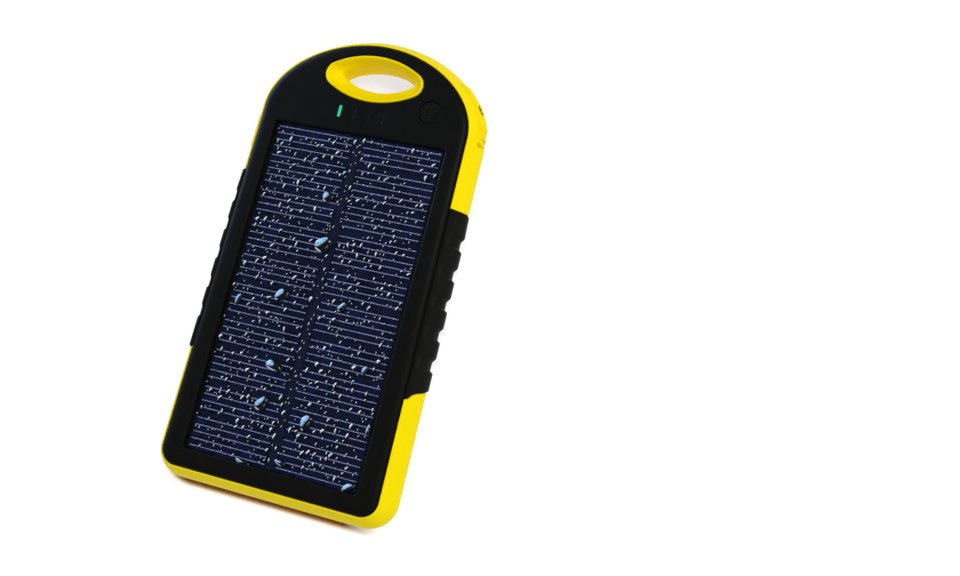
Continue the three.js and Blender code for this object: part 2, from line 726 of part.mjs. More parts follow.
// ---------------------------------------------------------------- wires
function wire(name, points, radius, colour) {
  const curve = new THREE.CatmullRomCurve3(points.map(([x, y, z]) => new THREE.Vector3(x, y, z)));
  const ring = new THREE.Shape();
  for (let i = 0; i < 6; i += 1) {
    const turn = (Math.PI * 2 * i) / 6;
    const x = radius * Math.cos(turn);
    const y = radius * Math.sin(turn);
    if (i === 0) {
      ring.moveTo(x, y);
    } else {
      ring.lineTo(x, y);
    }
  }
  const options = { steps: 8, bevelEnabled: false, extrudePath: curve };
  add(name, surface(solid(new THREE.ExtrudeGeometry(ring, options))), colour);
}

// Battery leads rise from the protection board to the main board.
const lead = batteryEnd + 1.4;
const batteryWay = [
  [lead, 4],
  [lead + 1.2, 3.6],
  [lead + 3, 4.4],
  [lead + 4.2, 6.4],
  [lead + 4.6, 8.12],
];
// Panel leads run under the panel to the top of the main board.
const panelWay = [
  [16, 9.87],
  [22, 9.85],
  [29, 9.8],
  [35, 9.68],
];
[["positive", -1, "red"], ["negative", 1, "dark"]].forEach(([pole, side, colour]) => {
  wire(`battery_wire_${pole}`, batteryWay.map(([y, z]) => [side * 2, y, z]), 0.65, colour);
  wire(`panel_wire_${pole}`, panelWay.map(([y, z]) => [side * 4, y, z]), 0.42, colour);
});

// ---------------------------------------------------------------- screws
eachScrew((x, y, label) => {
  let screw = solid(post(x, y, headRadius, 0.15, 0.97, 14));
  screw = screw.add(solid(post(x, y, shankRadius, 0.9, 6.9, 10)));
  screw = screw.subtract(solid(post(x, y, 0.85, -0.05, 0.55, 6)));
  add(`screw_${label}`, surface(screw), "steel");
});

export default group;
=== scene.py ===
"""Solar phone charger on a white table: shells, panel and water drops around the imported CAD."""

import math
import random

import bmesh
import bpy
from mathutils import Matrix, Vector
from mathutils.kdtree import KDTree


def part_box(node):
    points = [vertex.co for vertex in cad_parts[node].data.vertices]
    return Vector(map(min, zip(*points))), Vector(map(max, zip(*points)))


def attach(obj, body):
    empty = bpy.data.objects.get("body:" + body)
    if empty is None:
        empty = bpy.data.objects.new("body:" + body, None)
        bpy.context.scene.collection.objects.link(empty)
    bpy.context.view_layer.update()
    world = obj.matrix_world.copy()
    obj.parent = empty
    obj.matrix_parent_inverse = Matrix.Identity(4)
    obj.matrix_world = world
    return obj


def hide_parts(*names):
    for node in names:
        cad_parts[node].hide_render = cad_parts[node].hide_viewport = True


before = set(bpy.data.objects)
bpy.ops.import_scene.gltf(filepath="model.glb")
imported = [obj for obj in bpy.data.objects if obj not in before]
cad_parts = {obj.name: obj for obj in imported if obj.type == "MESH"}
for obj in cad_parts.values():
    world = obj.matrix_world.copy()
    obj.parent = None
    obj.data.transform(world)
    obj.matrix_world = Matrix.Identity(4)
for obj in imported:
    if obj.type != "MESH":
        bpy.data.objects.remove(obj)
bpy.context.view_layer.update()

MM = 0.001

# ---- driving dimensions, in millimetres
BODY_LENGTH = 142.0
BODY_WIDTH = 75.2
BODY_TAPER = 1.5
BODY_HEIGHT = 13.0
ARCH_HEIGHT = 27.0
ARCH_POWER = 1.92
FOOT_CORNER = 8.5
COVER_INSET = 3.5
WALL = 3.2
PLATE_BACK = 1.6
COVER_UNDER = 11.0
FIT = 0.15
LINE_PITCH = 2.037
LINE_EXTRA = 0.995
LINE_COUNTS = [4, 5] * 5
FIRST_LINE = 37.93
PANEL_HALF = 26.2
CENTRE_BAND = 3.7
WINDOW_MARGIN = 1.3
WINDOW_LIP, WINDOW_SHELF = 1.3, 1.4
WINDOW_DEPTH = 1.05
EYE_Y = 56.9
EYE_HALF = 15.7
EYE_RISE = 7.2
EYE_END = 4.0
THROAT_HALF = 11.8
THROAT_RISE = 4.3
THROAT_SHIFT = 1.3
THROAT_END = 0.9
BUTTON_X, BUTTON_Y = 20.0, 49.5
BUTTON_RADIUS = 3.45
SLOT_XS = [-7.9, -3.4, 1.1, 5.6]
SLOT_Y = 45.35
SLOT_WIDE, SLOT_LONG = 0.95, 3.8
PORT_ANGLE = 31.0
PORT_Z = 5.05
MICRO_Y = 34.8
PIN_RADIUS, PIN_DEPTH = 0.45, 2.15
KNUCKLE = 1.4
POCKET_PAST_PIN = 0.45
FLAP_BACK, FLAP_PROUD, FLAP_STEP = 3.1, 0.45, 2.3
NAIL_S, NAIL_RISE = 0.3, 1.1  # the nail hollow's centre: along the wall, and above the socket's middle
NAIL_LONG, NAIL_HIGH, NAIL_DEPTH = 1.6, 1.1, 0.7
FLAP_ROUND, FLAP_DROP = 0.45, 0.42
RIM_TOP, LEDGE_TOP, LEDGE_UNDER, LEDGE_REACH = 12.0, 10.4, 9.4, 5.0
GRIP_FROM, GRIP_TO = -30.5, 23.5
NOTCH_FIRST, NOTCH_PITCH, NOTCH_COUNT = 13.9, 9.05, 5
NOTCH_FLOOR, NOTCH_SLOPE, NOTCH_STEP = 1.05, 2.7, 2.0
NOTCH_DEPTH, GRIP_PROUD, GRIP_EASE = 0.95, 0.55, 0.25
SCREW_SPOTS = [(30.8, -62), (30.6, -12), (30.4, 24), (19.4, 58.9)]
TORCH_X, TORCH_Y = 0.0, 41.5

# The frame's side: height, and how far inside the widest outline it is there.
SIDE_PROFILE = [
    (0.5, 2.6), (0.9, 1.65), (1.6, 0.8), (2.6, 0.2), (3.6, 0.0), (5.5, 0.0),
    (7.0, 0.42), (8.2, 0.95), (9.5, 1.62), (11.0, 2.4), (11.75, 2.85), (12.0, 3.1),
]

ARCH_START = BODY_LENGTH / 2 - ARCH_HEIGHT
FOOT_Y = -BODY_LENGTH / 2
SHEET_TOP = BODY_HEIGHT - WINDOW_DEPTH
LAST_LINE = FIRST_LINE - (sum(LINE_COUNTS) - 1) * LINE_PITCH - (len(LINE_COUNTS) - 1) * LINE_EXTRA
WINDOW_TOP = FIRST_LINE + WINDOW_MARGIN
WINDOW_FOOT = LAST_LINE - WINDOW_MARGIN
WINDOW_HALF = PANEL_HALF + WINDOW_MARGIN


# ---- outlines
def half_at(y):
    share = (ARCH_START - y) / (ARCH_START - FOOT_Y - FOOT_CORNER)
    return BODY_WIDTH / 2 - BODY_TAPER * (1 - min(max(share, 0.0), 1.0))


def body_outline():
    """The widest outline, counter-clockwise from the middle of the foot."""
    corner_x = half_at(FOOT_Y + FOOT_CORNER) - FOOT_CORNER
    corner_y = FOOT_Y + FOOT_CORNER
    right = [(corner_x * i / 12, FOOT_Y) for i in range(12)]
    for i in range(25):
        turn = math.radians(-90 + 90 * i / 24)
        right.append((corner_x + FOOT_CORNER * math.cos(turn), corner_y + FOOT_CORNER * math.sin(turn)))
    for i in range(1, 40):
        y = corner_y + (ARCH_START - corner_y) * i / 40
        right.append((half_at(y), y))
    for i in range(80):
        turn = math.radians(90 * i / 80)
        x = half_at(ARCH_START) * math.cos(turn) ** (2 / ARCH_POWER)
        y = ARCH_START + ARCH_HEIGHT * math.sin(turn) ** (2 / ARCH_POWER)
        right.append((x, y))
    left = [(-x, y) for x, y in reversed(right[1:])]
    return right + [(0.0, BODY_LENGTH / 2)] + left


def loop_normals(loop):
    found = []
    for i in range(len(loop)):
        bx, by = loop[i - 1]
        ax, ay = loop[(i + 1) % len(loop)]
        length = math.hypot(ax - bx, ay - by)
        found.append(((ay - by) / length, -(ax - bx) / length))
    return found


OUTLINE = body_outline()
OUTLINE_NORMALS = loop_normals(OUTLINE)


def inset(distance):
    return [(x - nx * distance, y - ny * distance) for (x, y), (nx, ny) in zip(OUTLINE, OUTLINE_NORMALS)]


def eye_loop(half, rise, end, centre_y, fine=3):
    """Two wide arcs joined by two small ones."""
    reach = half - end
    drop = (reach * reach - (rise - end) ** 2) / (2 * (rise - end))
    radius = rise + drop
    end_turn = math.atan2(drop, reach)
    loop = []

    def arc(cx, cy, r, start, stop, steps):
        for i in range(steps):
            turn = start + (stop - start) * i / steps
            loop.append((cx + r * math.cos(turn), centre_y + cy + r * math.sin(turn)))

    arc(reach, 0, end, -end_turn, end_turn, 8 * fine)
    arc(0, -drop, radius, end_turn, math.pi - end_turn, 14 * fine)
    arc(-reach, 0, end, math.pi - end_turn, math.pi + end_turn, 8 * fine)
    arc(0, drop, radius, math.pi + end_turn, 2 * math.pi - end_turn, 14 * fine)
    return loop


def round_rect(x0, x1, y0, y1, radius, steps=6):
    loop = []
    for cx, cy, start in ((x1 - radius, y0 + radius, -90), (x1 - radius, y1 - radius, 0),
                          (x0 + radius, y1 - radius, 90), (x0 + radius, y0 + radius, 180)):
        for i in range(steps + 1):
            turn = math.radians(start + 90 * i / steps)
            loop.append((cx + radius * math.cos(turn), cy + radius * math.sin(turn)))
    return loop


def circle(cx, cy, radius, steps=48):
    return [(cx + radius * math.cos(2 * math.pi * i / steps), cy + radius * math.sin(2 * math.pi * i / steps))
            for i in range(steps)]


def smooth_rows(rows, fine):
    """Catmull-Rom through rows of numbers, with fine steps between two rows."""
    out = []
    last = len(rows) - 1

    def between(a, b, c, d, t):
        square = 2 * a - 5 * b + 4 * c - d
        cube = 3 * b - a - 3 * c + d
        return 0.5 * (2 * b + (c - a) * t + square * t * t + cube * t ** 3)

    for i in range(last):
        near = (rows[max(i - 1, 0)], rows[i], rows[i + 1], rows[min(i + 2, last)])
        for k in range(fine):
            out.append(tuple(between(*four, k / fine) for four in zip(*near)))
    out.append(tuple(rows[last]))
    return out


FINE_PROFILE = [(z, max(distance, 0.0)) for z, distance in smooth_rows(SIDE_PROFILE, 4)]


def profile_at(z):
    rows = FINE_PROFILE
    if z <= rows[0][0]:
        return rows[0][1]
    for (za, da), (zb, db) in zip(rows, rows[1:]):
        if za <= z <= zb:
            return da + (db - da) * (z - za) / max(zb - za, 1e-9)
    return rows[-1][1]


# ---- meshes
SHARP_ANGLE = 32


def in_scene(name, data):
    thing = bpy.data.objects.new(name, data)
    bpy.context.scene.collection.objects.link(thing)
    return thing


def raw(name, verts, faces):
    """A mesh object from places in millimetres."""
    mesh = bpy.data.meshes.new(name)
    mesh.from_pydata([(x * MM, y * MM, z * MM) for x, y, z in verts], [], faces)
    return in_scene(name, mesh)


def make(name, verts, faces, sharp_angle=SHARP_ANGLE):
    piece = raw(name, verts, faces)
    tidy(piece, sharp_angle)
    return piece


def tidy(piece, sharp_angle=SHARP_ANGLE):
    """Faces outwards, smooth where they bend little and sharp where they bend a lot."""
    bm = bmesh.new()
    bm.from_mesh(piece.data)
    bmesh.ops.remove_doubles(bm, verts=bm.verts, dist=1e-7)
    bmesh.ops.recalc_face_normals(bm, faces=bm.faces)
    limit = math.radians(sharp_angle)
    for face in bm.faces:
        face.smooth = True
    for edge in bm.edges:
        edge.smooth = edge.is_manifold and edge.calc_face_angle(0.0) < limit
    for face in bm.faces:
        # A level face keeps its own flat shading.
        if abs(face.normal.z) > 0.99999 and face.calc_area() > (0.5 * MM) ** 2:
            for edge in face.edges:
                edge.smooth = False
    bm.to_mesh(piece.data)
    bm.free()


def stack_faces(levels, count):
    """The sides and the two ends of rings of count points, stacked in order."""
    faces = []
    for level in range(levels - 1):
        for i in range(count):
            a, b = level * count + i, level * count + (i + 1) % count
            faces.append((a, b, b + count, a + count))
    faces.append(tuple(range(count)))
    faces.append(tuple((levels - 1) * count + i for i in range(count)))
    return faces


def loft(name, loops, heights, closed_ring=False, sharp_angle=SHARP_ANGLE):
    """Loops of (x, y) with one count at the given heights. With closed_ring, the last joins the first."""
    count = len(loops[0])
    verts = [(x, y, z) for loop, z in zip(loops, heights) for x, y in loop]
    faces = []
    levels = len(loops)
    for level in range(levels if closed_ring else levels - 1):
        above = (level + 1) % levels
        for i in range(count):
            j = (i + 1) % count
            faces.append((level * count + i, level * count + j, above * count + j, above * count + i))
    if not closed_ring:
        faces.append(tuple(reversed(range(count))))
        faces.append(tuple((levels - 1) * count + i for i in range(count)))
    return make(name, verts, faces, sharp_angle)


def prism(name, loop, z0, z1):
    return loft(name, [loop, loop], [z0, z1])


def boolean(piece, tools, operation="DIFFERENCE"):
    """Cuts with, or adds, each tool in turn, and deletes the tools."""
    for tool in tools:
        change = piece.modifiers.new("cut", "BOOLEAN")
        change.operation = operation
        change.solver = "EXACT"
        change.object = tool
        bpy.context.view_layer.objects.active = piece
        bpy.context.view_layer.update()
        bpy.ops.object.modifier_apply(modifier=change.name)
        bpy.data.objects.remove(tool, do_unlink=True)
    tidy(piece)
    return piece


def lip_cutter(name, loop_at, z_low, z_top, flare, steps=5):
    """A cutter whose mouth opens in a quarter round at z_top. loop_at(grow) is its outline."""
    loops = [loop_at(0.0)]
    heights = [z_low]
    for i in range(steps + 1):
        turn = math.radians(90 * i / steps)
        loops.append(loop_at(flare * (1 - math.cos(turn))))
        heights.append(z_top - flare * (1 - math.sin(turn)))
    loops.append(loop_at(flare + 0.001))
    heights.append(z_top + 0.4)
    return loft(name, loops, heights)


# ---- materials
def linear(red, green, blue):
    """Linear colour from 0 to 255 display values."""
    def one(value):
        value /= 255
        return value / 12.92 if value <= 0.04045 else ((value + 0.055) / 1.055) ** 2.4
    return (one(red), one(green), one(blue), 1.0)


def scaled(colour, factor):
    return tuple(min(channel * factor, 1.0) for channel in colour[:3]) + (1.0,)


class Nodes:
    """A material's nodes, with short calls for what most of them share."""

    def __init__(self, name):
        self.material = bpy.data.materials.new(name)
        self.material.use_nodes = True
        self.tree = self.material.node_tree
        self.tree.nodes.clear()
        self.out = self.tree.nodes.new("ShaderNodeOutputMaterial")
        self.place = self.tree.nodes.new("ShaderNodeTexCoord").outputs["Object"]

    def add(self, kind, **values):
        node = self.tree.nodes.new(kind)
        for key, value in values.items():
            if hasattr(node, key):
                setattr(node, key, value)
            else:
                node.inputs[key.replace("_", " ")].default_value = value
        return node

    def link(self, source, target):
        self.tree.links.new(source, target)

    def axes(self):
        """The x, y and z of a place on the object."""
        node = self.tree.nodes.new("ShaderNodeSeparateXYZ")
        self.link(self.place, node.inputs["Vector"])
        return node.outputs

    def noise(self, scale, detail=3.0, roughness=0.55):
        node = self.add("ShaderNodeTexNoise", Scale=scale, Detail=detail, Roughness=roughness)
        self.link(self.place, node.inputs["Vector"])
        return node.outputs["Fac"]

    def ramp(self, source, stops):
        node = self.tree.nodes.new("ShaderNodeValToRGB")
        elements = node.color_ramp.elements
        while len(elements) < len(stops):
            elements.new(0.5)
        for element, (position, colour) in zip(elements, stops):
            element.position = position
            element.color = colour
        self.link(source, node.inputs["Fac"])
        return node.outputs["Color"]

    def map_range(self, source, start, stop, low=0.0, high=1.0):
        node = self.add("ShaderNodeMapRange", From_Min=start, From_Max=stop, To_Min=low, To_Max=high)
        self.link(source, node.inputs["Value"])
        return node.outputs["Result"]

    def spread(self, source, low, high):
        """low to high over the middle of a noise."""
        return self.map_range(source, 0.3, 0.7, low, high)

    def reach(self, source, start, stop):
        """0 to 1 as source, a length, goes from start to stop in millimetres."""
        return self.map_range(source, start * MM, stop * MM)

    def blend(self, factor, first, second):
        """Multiplies first by second, as far as factor says. Each is a value or another node's output."""
        node = self.add("ShaderNodeMix", data_type="RGBA", blend_type="MULTIPLY")
        targets = (node.inputs["Factor"], node.inputs[6], node.inputs[7])
        for value, target in zip((factor, first, second), targets):
            if isinstance(value, bpy.types.NodeSocket):
                self.link(value, target)
            else:
                target.default_value = value
        return node.outputs[2]

    def bump(self, source, strength, distance):
        node = self.add("ShaderNodeBump", Strength=strength, Distance=distance)
        self.link(source, node.inputs["Height"])
        return node.outputs["Normal"]

    def principled(self, **values):
        node = self.add("ShaderNodeBsdfPrincipled", **values)
        self.link(node.outputs["BSDF"], self.out.inputs["Surface"])
        return node


def moulded(name, colour, roughness, gloss, grain=0.35, grain_depth=0.012, mottle=0.06):
    """Moulded plastic or rubber: slight mottling, a fine grain and uneven gloss. grain is in millimetres.

    gloss is the refractive index, so a low one leaves little sheen at a slant too.
    """
    n = Nodes(name)
    body = n.principled(IOR=gloss)
    cloud = n.noise(140, 4)
    n.link(n.ramp(cloud, [(0.3, scaled(colour, 1 - mottle)), (0.7, scaled(colour, 1 + mottle))]),
           body.inputs["Base Color"])
    fine = n.noise(1 / (grain * MM), 4, 0.6)
    n.link(n.spread(fine, roughness - 0.05, roughness + 0.06), body.inputs["Roughness"])
    n.link(n.bump(fine, 0.6, grain_depth * MM), body.inputs["Normal"])
    return n.material


def metal(name, colour, roughness):
    n = Nodes(name)
    body = n.principled(Metallic=1.0)
    streak = n.noise(900, 5)
    n.link(n.ramp(streak, [(0.3, scaled(colour, 0.85)), (0.7, colour)]), body.inputs["Base Color"])
    n.link(n.spread(streak, roughness - 0.06, roughness + 0.1), body.inputs["Roughness"])
    n.link(n.bump(streak, 0.3, 0.01 * MM), body.inputs["Normal"])
    return n.material


def circuit(name, mask, copper):
    """Solder mask with tracks showing through as a slightly lighter, raised pattern."""
    n = Nodes(name)
    body = n.principled()
    cells = n.add("ShaderNodeTexVoronoi", Scale=420.0)
    cells.distance = "MANHATTAN"
    cells.feature = "DISTANCE_TO_EDGE"
    n.link(n.place, cells.inputs["Vector"])
    tracks = cells.outputs["Distance"]
    n.link(n.ramp(tracks, [(0.05, copper), (0.12, mask)]), body.inputs["Base Color"])
    n.link(n.spread(n.noise(1500), 0.3, 0.5), body.inputs["Roughness"])
    n.link(n.bump(tracks, 0.4, 0.03 * MM), body.inputs["Normal"])
    return n.material


YELLOW = linear(247, 223, 2)
BLACK = linear(15, 15, 14)
SILICONE = scaled(YELLOW, 0.97)
RUBBER = scaled(BLACK, 0.9)

yellow_plastic = moulded("yellow_plastic", YELLOW, 0.42, 1.08, grain=0.5, grain_depth=0.006, mottle=0.015)
yellow_silicone = moulded("yellow_silicone", SILICONE, 0.5, 1.08, grain=0.4, grain_depth=0.008, mottle=0.02)
# The darker copy of the yellow below is painted shade, for the faces in the flaps' nail hollows.
nail_painted_shade = moulded("nail_painted_shade", scaled(YELLOW, 0.3), 0.6, 1.05, grain=0.4, grain_depth=0.008, mottle=0.05)
black_cover = moulded("black_cover", BLACK, 0.38, 1.12, grain=0.3, grain_depth=0.008, mottle=0.12)
black_rubber = moulded("black_rubber", RUBBER, 0.6, 1.14, grain=0.25, grain_depth=0.03, mottle=0.15)
steel = metal("plated_steel", linear(196, 199, 204), 0.28)
foil = metal("battery_foil", linear(205, 208, 214), 0.38)
board_green = circuit("board_green", linear(16, 70, 44), linear(40, 112, 70))
white_plastic = moulded("white_plastic", linear(228, 226, 220), 0.45, 1.45)
chip_black = moulded("chip_black", linear(34, 35, 38), 0.5, 1.4, grain=0.15)
ferrite = moulded("ferrite", linear(62, 60, 60), 0.7, 1.35, grain=0.2, grain_depth=0.04)
foam = moulded("foam_grey", linear(70, 70, 74), 0.95, 1.2, grain=0.6, grain_depth=0.2, mottle=0.3)
wire_red = moulded("wire_red", linear(176, 24, 22), 0.4, 1.45)
wire_black = moulded("wire_black", linear(26, 26, 28), 0.4, 1.45)
gasket_grey = moulded("gasket_grey", linear(44, 44, 48), 0.8, 1.25)


def lit_green():
    n = Nodes("lit_green")
    body = n.principled(Emission_Strength=0.45)
    glow = n.noise(500, 2)
    green = linear(22, 196, 134)
    n.link(n.ramp(glow, [(0.3, scaled(green, 0.85)), (0.7, green)]), body.inputs["Base Color"])
    n.link(n.ramp(glow, [(0.3, scaled(green, 0.8)), (0.7, green)]), body.inputs["Emission Color"])
    n.link(n.spread(glow, 0.3, 0.4), body.inputs["Roughness"])
    return n.material


def smoked(name, colour):
    """Dark clear plastic, unlit."""
    n = Nodes(name)
    body = n.principled(Specular_IOR_Level=0.15)
    cloud = n.noise(600, 3)
    n.link(n.ramp(cloud, [(0.3, scaled(colour, 0.8)), (0.7, colour)]), body.inputs["Base Color"])
    n.link(n.spread(cloud, 0.16, 0.26), body.inputs["Roughness"])
    return n.material


def silicon():
    """Dark blue cells with a faint crystal pattern and slow changes of tone."""
    n = Nodes("silicon_cells")
    body = n.principled(Specular_IOR_Level=0.1)
    crystals = n.add("ShaderNodeTexVoronoi", Scale=420.0)
    n.link(n.place, crystals.inputs["Vector"])
    grain = n.ramp(crystals.outputs["Color"], [(0.0, linear(2, 8, 25)), (0.5, linear(11, 22, 48)),
                                               (1.0, linear(20, 28, 60))])
    cloud = n.ramp(n.noise(90, 4), [(0.32, (0.5, 0.56, 0.7, 1)), (0.68, (1.0, 1.0, 1.0, 1))])
    n.link(n.blend(1.0, grain, cloud), body.inputs["Base Color"])
    n.link(n.spread(n.noise(800), 0.35, 0.5), body.inputs["Roughness"])
    return n.material


def backsheet():
    """The sheet behind the cells: dark blue-grey between the cells, printed black round the outside."""
    n = Nodes("panel_backsheet")
    body = n.principled(Specular_IOR_Level=0.1)
    reach = n.add("ShaderNodeMath", operation="ABSOLUTE")
    n.link(n.axes()["X"], reach.inputs[0])
    share = n.add("ShaderNodeMath", operation="DIVIDE")
    share.inputs[1].default_value = 2 * PANEL_HALF * MM
    n.link(reach.outputs["Value"], share.inputs[0])
    border = n.ramp(share.outputs["Value"], [(0.494, linear(19, 27, 44)), (0.5, linear(9, 9, 11))])
    n.link(border, body.inputs["Base Color"])
    weave = n.noise(1800, 2)
    n.link(n.spread(weave, 0.45, 0.6), body.inputs["Roughness"])
    n.link(n.bump(weave, 0.3, 0.01 * MM), body.inputs["Normal"])
    return n.material


def silver_paste():
    n = Nodes("silver_fingers")
    body = n.principled(Metallic=0.1, Specular_IOR_Level=0.3)
    streak = n.noise(2200, 3)
    shade = n.ramp(streak, [(0.35, linear(92, 98, 124)), (0.65, linear(172, 178, 204))])
    n.link(shade, body.inputs["Base Color"])
    n.link(n.spread(streak, 0.4, 0.6), body.inputs["Roughness"])
    n.link(n.bump(streak, 0.5, 0.02 * MM), body.inputs["Normal"])
    return n.material


def clear_resin():
    """A clear sheet: see-through, with a soft gloss that grows at grazing angles."""
    n = Nodes("clear_resin")
    through = n.add("ShaderNodeBsdfTransparent")
    through.inputs["Color"].default_value = (0.93, 0.95, 1.0, 1.0)
    gloss = n.add("ShaderNodeBsdfGlossy")
    wave = n.noise(220, 3)
    n.link(n.spread(wave, 0.16, 0.26), gloss.inputs["Roughness"])
    n.link(n.bump(wave, 0.25, 0.05 * MM), gloss.inputs["Normal"])
    edge = n.add("ShaderNodeFresnel", IOR=1.1)
    mix = n.add("ShaderNodeMixShader")
    n.link(edge.outputs["Fac"], mix.inputs["Fac"])
    n.link(through.outputs["BSDF"], mix.inputs[1])
    n.link(gloss.outputs["BSDF"], mix.inputs[2])
    n.link(mix.outputs["Shader"], n.out.inputs["Surface"])
    return n.material


def drop_material(name, painted_reflection_way, painted_reflection_from, painted_reflection_colour, painted_reflection_streaks, painted_glint_way):
    """A dark drop with a painted reflection of the sky in its base colour: a bright patch on the side that
    faces one given way, and a small painted glint facing another.
    """
    dark = (0.004, 0.005, 0.008, 1)
    n = Nodes(name)
    body = n.principled(IOR=1.33)
    facing_out = n.tree.nodes.new("ShaderNodeTexCoord").outputs["Normal"]

    def towards(way):
        node = n.add("ShaderNodeVectorMath", operation="DOT_PRODUCT")
        n.link(facing_out, node.inputs[0])
        node.inputs[1].default_value = Vector(way).normalized()
        return node.outputs["Value"]

    # Painted reflection: the base colour is bright where the surface faces the sky's way, streaked by a
    # noise.
    painted_reflection_patch = n.ramp(towards(painted_reflection_way), [(painted_reflection_from, dark), (painted_reflection_from + 0.03, scaled(painted_reflection_colour, 0.75)), (1.0, painted_reflection_colour)])
    pattern = n.ramp(n.noise(1400, 2), [(0.38, painted_reflection_streaks), (0.55, (1, 1, 1, 1))])
    # Painted highlight: a small glint where the surface faces the glint's way.
    painted_glint = n.ramp(towards(painted_glint_way), [(0.93, (0, 0, 0, 1)), (0.97, (0.7, 0.72, 0.76, 1))])
    both = n.add("ShaderNodeMix", data_type="RGBA", blend_type="ADD")
    both.inputs["Factor"].default_value = 1.0
    n.link(n.blend(1.0, painted_reflection_patch, pattern), both.inputs[6])
    n.link(painted_glint, both.inputs[7])
    n.link(both.outputs[2], body.inputs["Base Color"])
    n.link(n.spread(n.noise(700, 2), 0.03, 0.08), body.inputs["Roughness"])
    return n.material


green_glow = lit_green()
smoked_pipe = smoked("smoked_pipe", linear(15, 15, 17))
torch_plastic = smoked("torch_plastic", linear(196, 206, 212))
cells_material = silicon()
backsheet_material = backsheet()
fingers_material = silver_paste()
resin = clear_resin()
# Ways that the drops' painted sky reflections and painted glint face.
TO_PAINTED_SKY = (-0.40, 0.22, 0.86)  # the large drops' bright side
TO_PAINTED_LOW_SKY = (-0.6, 0.36, 0.75)  # the fine drops' bright side
TO_PAINTED_GLINT = (-0.28, -0.62, 0.62)
PAINTED_SKY_BLUE = (0.4, 0.66, 1.0, 1)
PAINTED_SKY_WHITE = (0.9, 0.96, 1.0, 1)
water_material = drop_material("water", TO_PAINTED_SKY, 0.87, PAINTED_SKY_BLUE, (0.35, 0.5, 0.7, 1), TO_PAINTED_GLINT)
bead_material = drop_material("fine_droplets", TO_PAINTED_LOW_SKY, 0.64, PAINTED_SKY_WHITE, (0.8, 0.85, 0.95, 1), TO_PAINTED_GLINT)


def paint(piece, *materials):
    piece.data.materials.clear()
    for material in materials:
        piece.data.materials.append(material)


def settle(piece, body, slot_name, *nodes):
    """Every new piece: what it rides on and the CAD nodes it stands for. slot_name, the record slot it is
    made of, is not used.
    """
    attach(piece, body)
    if nodes:
        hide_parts(*nodes)


# ---- ports: where they are on the outline
class Port:
    """A socket with its flap. Local n is outwards from the wall, s runs along it and z is up.

    half is how far the pocket runs past the socket's middle. plug is wide, high and long, and socket is
    wide and high. low and top are the pocket's heights.
    """

    def __init__(self, label, spot, mirror, half, plug, socket, low, top):
        self.label = label
        self.x, self.y, self.angle = spot
        self.mirror, self.half, self.plug, self.socket = mirror, half, plug, socket
        self.low, self.top = low, top
        self.pin_n, self.pin_s = self.local(*pin_of(label))
        self.pocket_end = self.pin_s - PIN_DEPTH - POCKET_PAST_PIN

    def turned(self, x, y):
        """n and s of a place on the right side."""
        dx, dy = x - self.x, y - self.y
        n = dx * math.cos(self.angle) + dy * math.sin(self.angle)
        s = -dx * math.sin(self.angle) + dy * math.cos(self.angle)
        return n, s

    def local(self, x, y):
        """n and s of a place on the port's own side."""
        return self.turned(-x if self.mirror else x, y)

    def world(self, n, s, z):
        x = self.x + n * math.cos(self.angle) - s * math.sin(self.angle)
        y = self.y + n * math.sin(self.angle) + s * math.cos(self.angle)
        return (-x if self.mirror else x, y, z)

    def surface(self, s, z):
        """n of the frame's outside at this place along the wall and height."""
        depth = profile_at(z)
        previous = None
        for (x, y), (nx, ny) in zip(OUTLINE, OUTLINE_NORMALS):
            here_n, here_s = self.turned(x - nx * depth, y - ny * depth)
            if previous and here_n > -14 and previous[0] <= s < here_s:
                share = (s - previous[0]) / (here_s - previous[0])
                return previous[1] + (here_n - previous[1]) * share
            previous = (here_s, here_n)
        return 0.0

    def block(self, name, n0, n1, s0, s1, z0, z1, round_by=0.0):
        """A box in local axes, its upright edges rounded."""
        corners = round_rect(n0, n1, s0, s1, max(round_by, 0.01), 4)
        verts = [self.world(n, s, z) for z in (z0, z1) for n, s in corners]
        count = len(corners)
        faces = [(i, (i + 1) % count, count + (i + 1) % count, count + i) for i in range(count)]
        faces += [tuple(range(count)), tuple(range(count, 2 * count))]
        return make(name, verts, faces)

    def rod(self, name, n, s, radius, z0, z1, steps=32):
        x, y, _ = self.world(n, s, 0)
        return prism(name, circle(x, y, radius, steps), z0, z1)


def facing(degrees):
    want = math.radians(degrees)
    spots = [(abs(math.atan2(ny, nx) - want), x, y, math.atan2(ny, nx))
             for (x, y), (nx, ny) in zip(OUTLINE, OUTLINE_NORMALS)]
    return min(spots)[1:]


def pin_of(label):
    """The hinge pin's axis as packed, in millimetres."""
    low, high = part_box("flap_pin_" + label)
    return (low[0] + high[0]) / 2 / MM, (low[1] + high[1]) / 2 / MM


SHOULDER = facing(PORT_ANGLE)
FLANK = (half_at(MICRO_Y), MICRO_Y, math.atan(half_at(MICRO_Y - 1) - half_at(MICRO_Y)))
USB_A = (9.3, (11.0, 3.9, 1.2), (13.1, 5.7), 1.9, 8.6)
PORTS = [
    Port("right", SHOULDER, False, *USB_A),
    Port("left", SHOULDER, True, *USB_A),
    Port("micro", FLANK, True, 6.6, (5.6, 1.5, 0.9), (7.6, 2.9), 2.6, 7.8),
]

# ---- the grips' band on each side
BAND_TOP = [(0.1, GRIP_TO - 0.5), (5.5, GRIP_TO - 0.3), (12.8, GRIP_TO - 0.8)]
BAND_FOOT = [(0.1, GRIP_FROM + 1.6), (5.0, GRIP_FROM + 0.4), (8.6, GRIP_FROM - 0.4), (10.8, GRIP_FROM - 1.4),
             (12.8, GRIP_FROM - 3.6)]
GRIP_SINK = 1.2
GRIP_GAP = 0.12
GRIP_ROUND = 0.3


def along(rows, z):
    for (za, ya), (zb, yb) in zip(rows, rows[1:]):
        if z <= zb:
            return ya + (yb - ya) * (z - za) / (zb - za)
    return rows[-1][1]


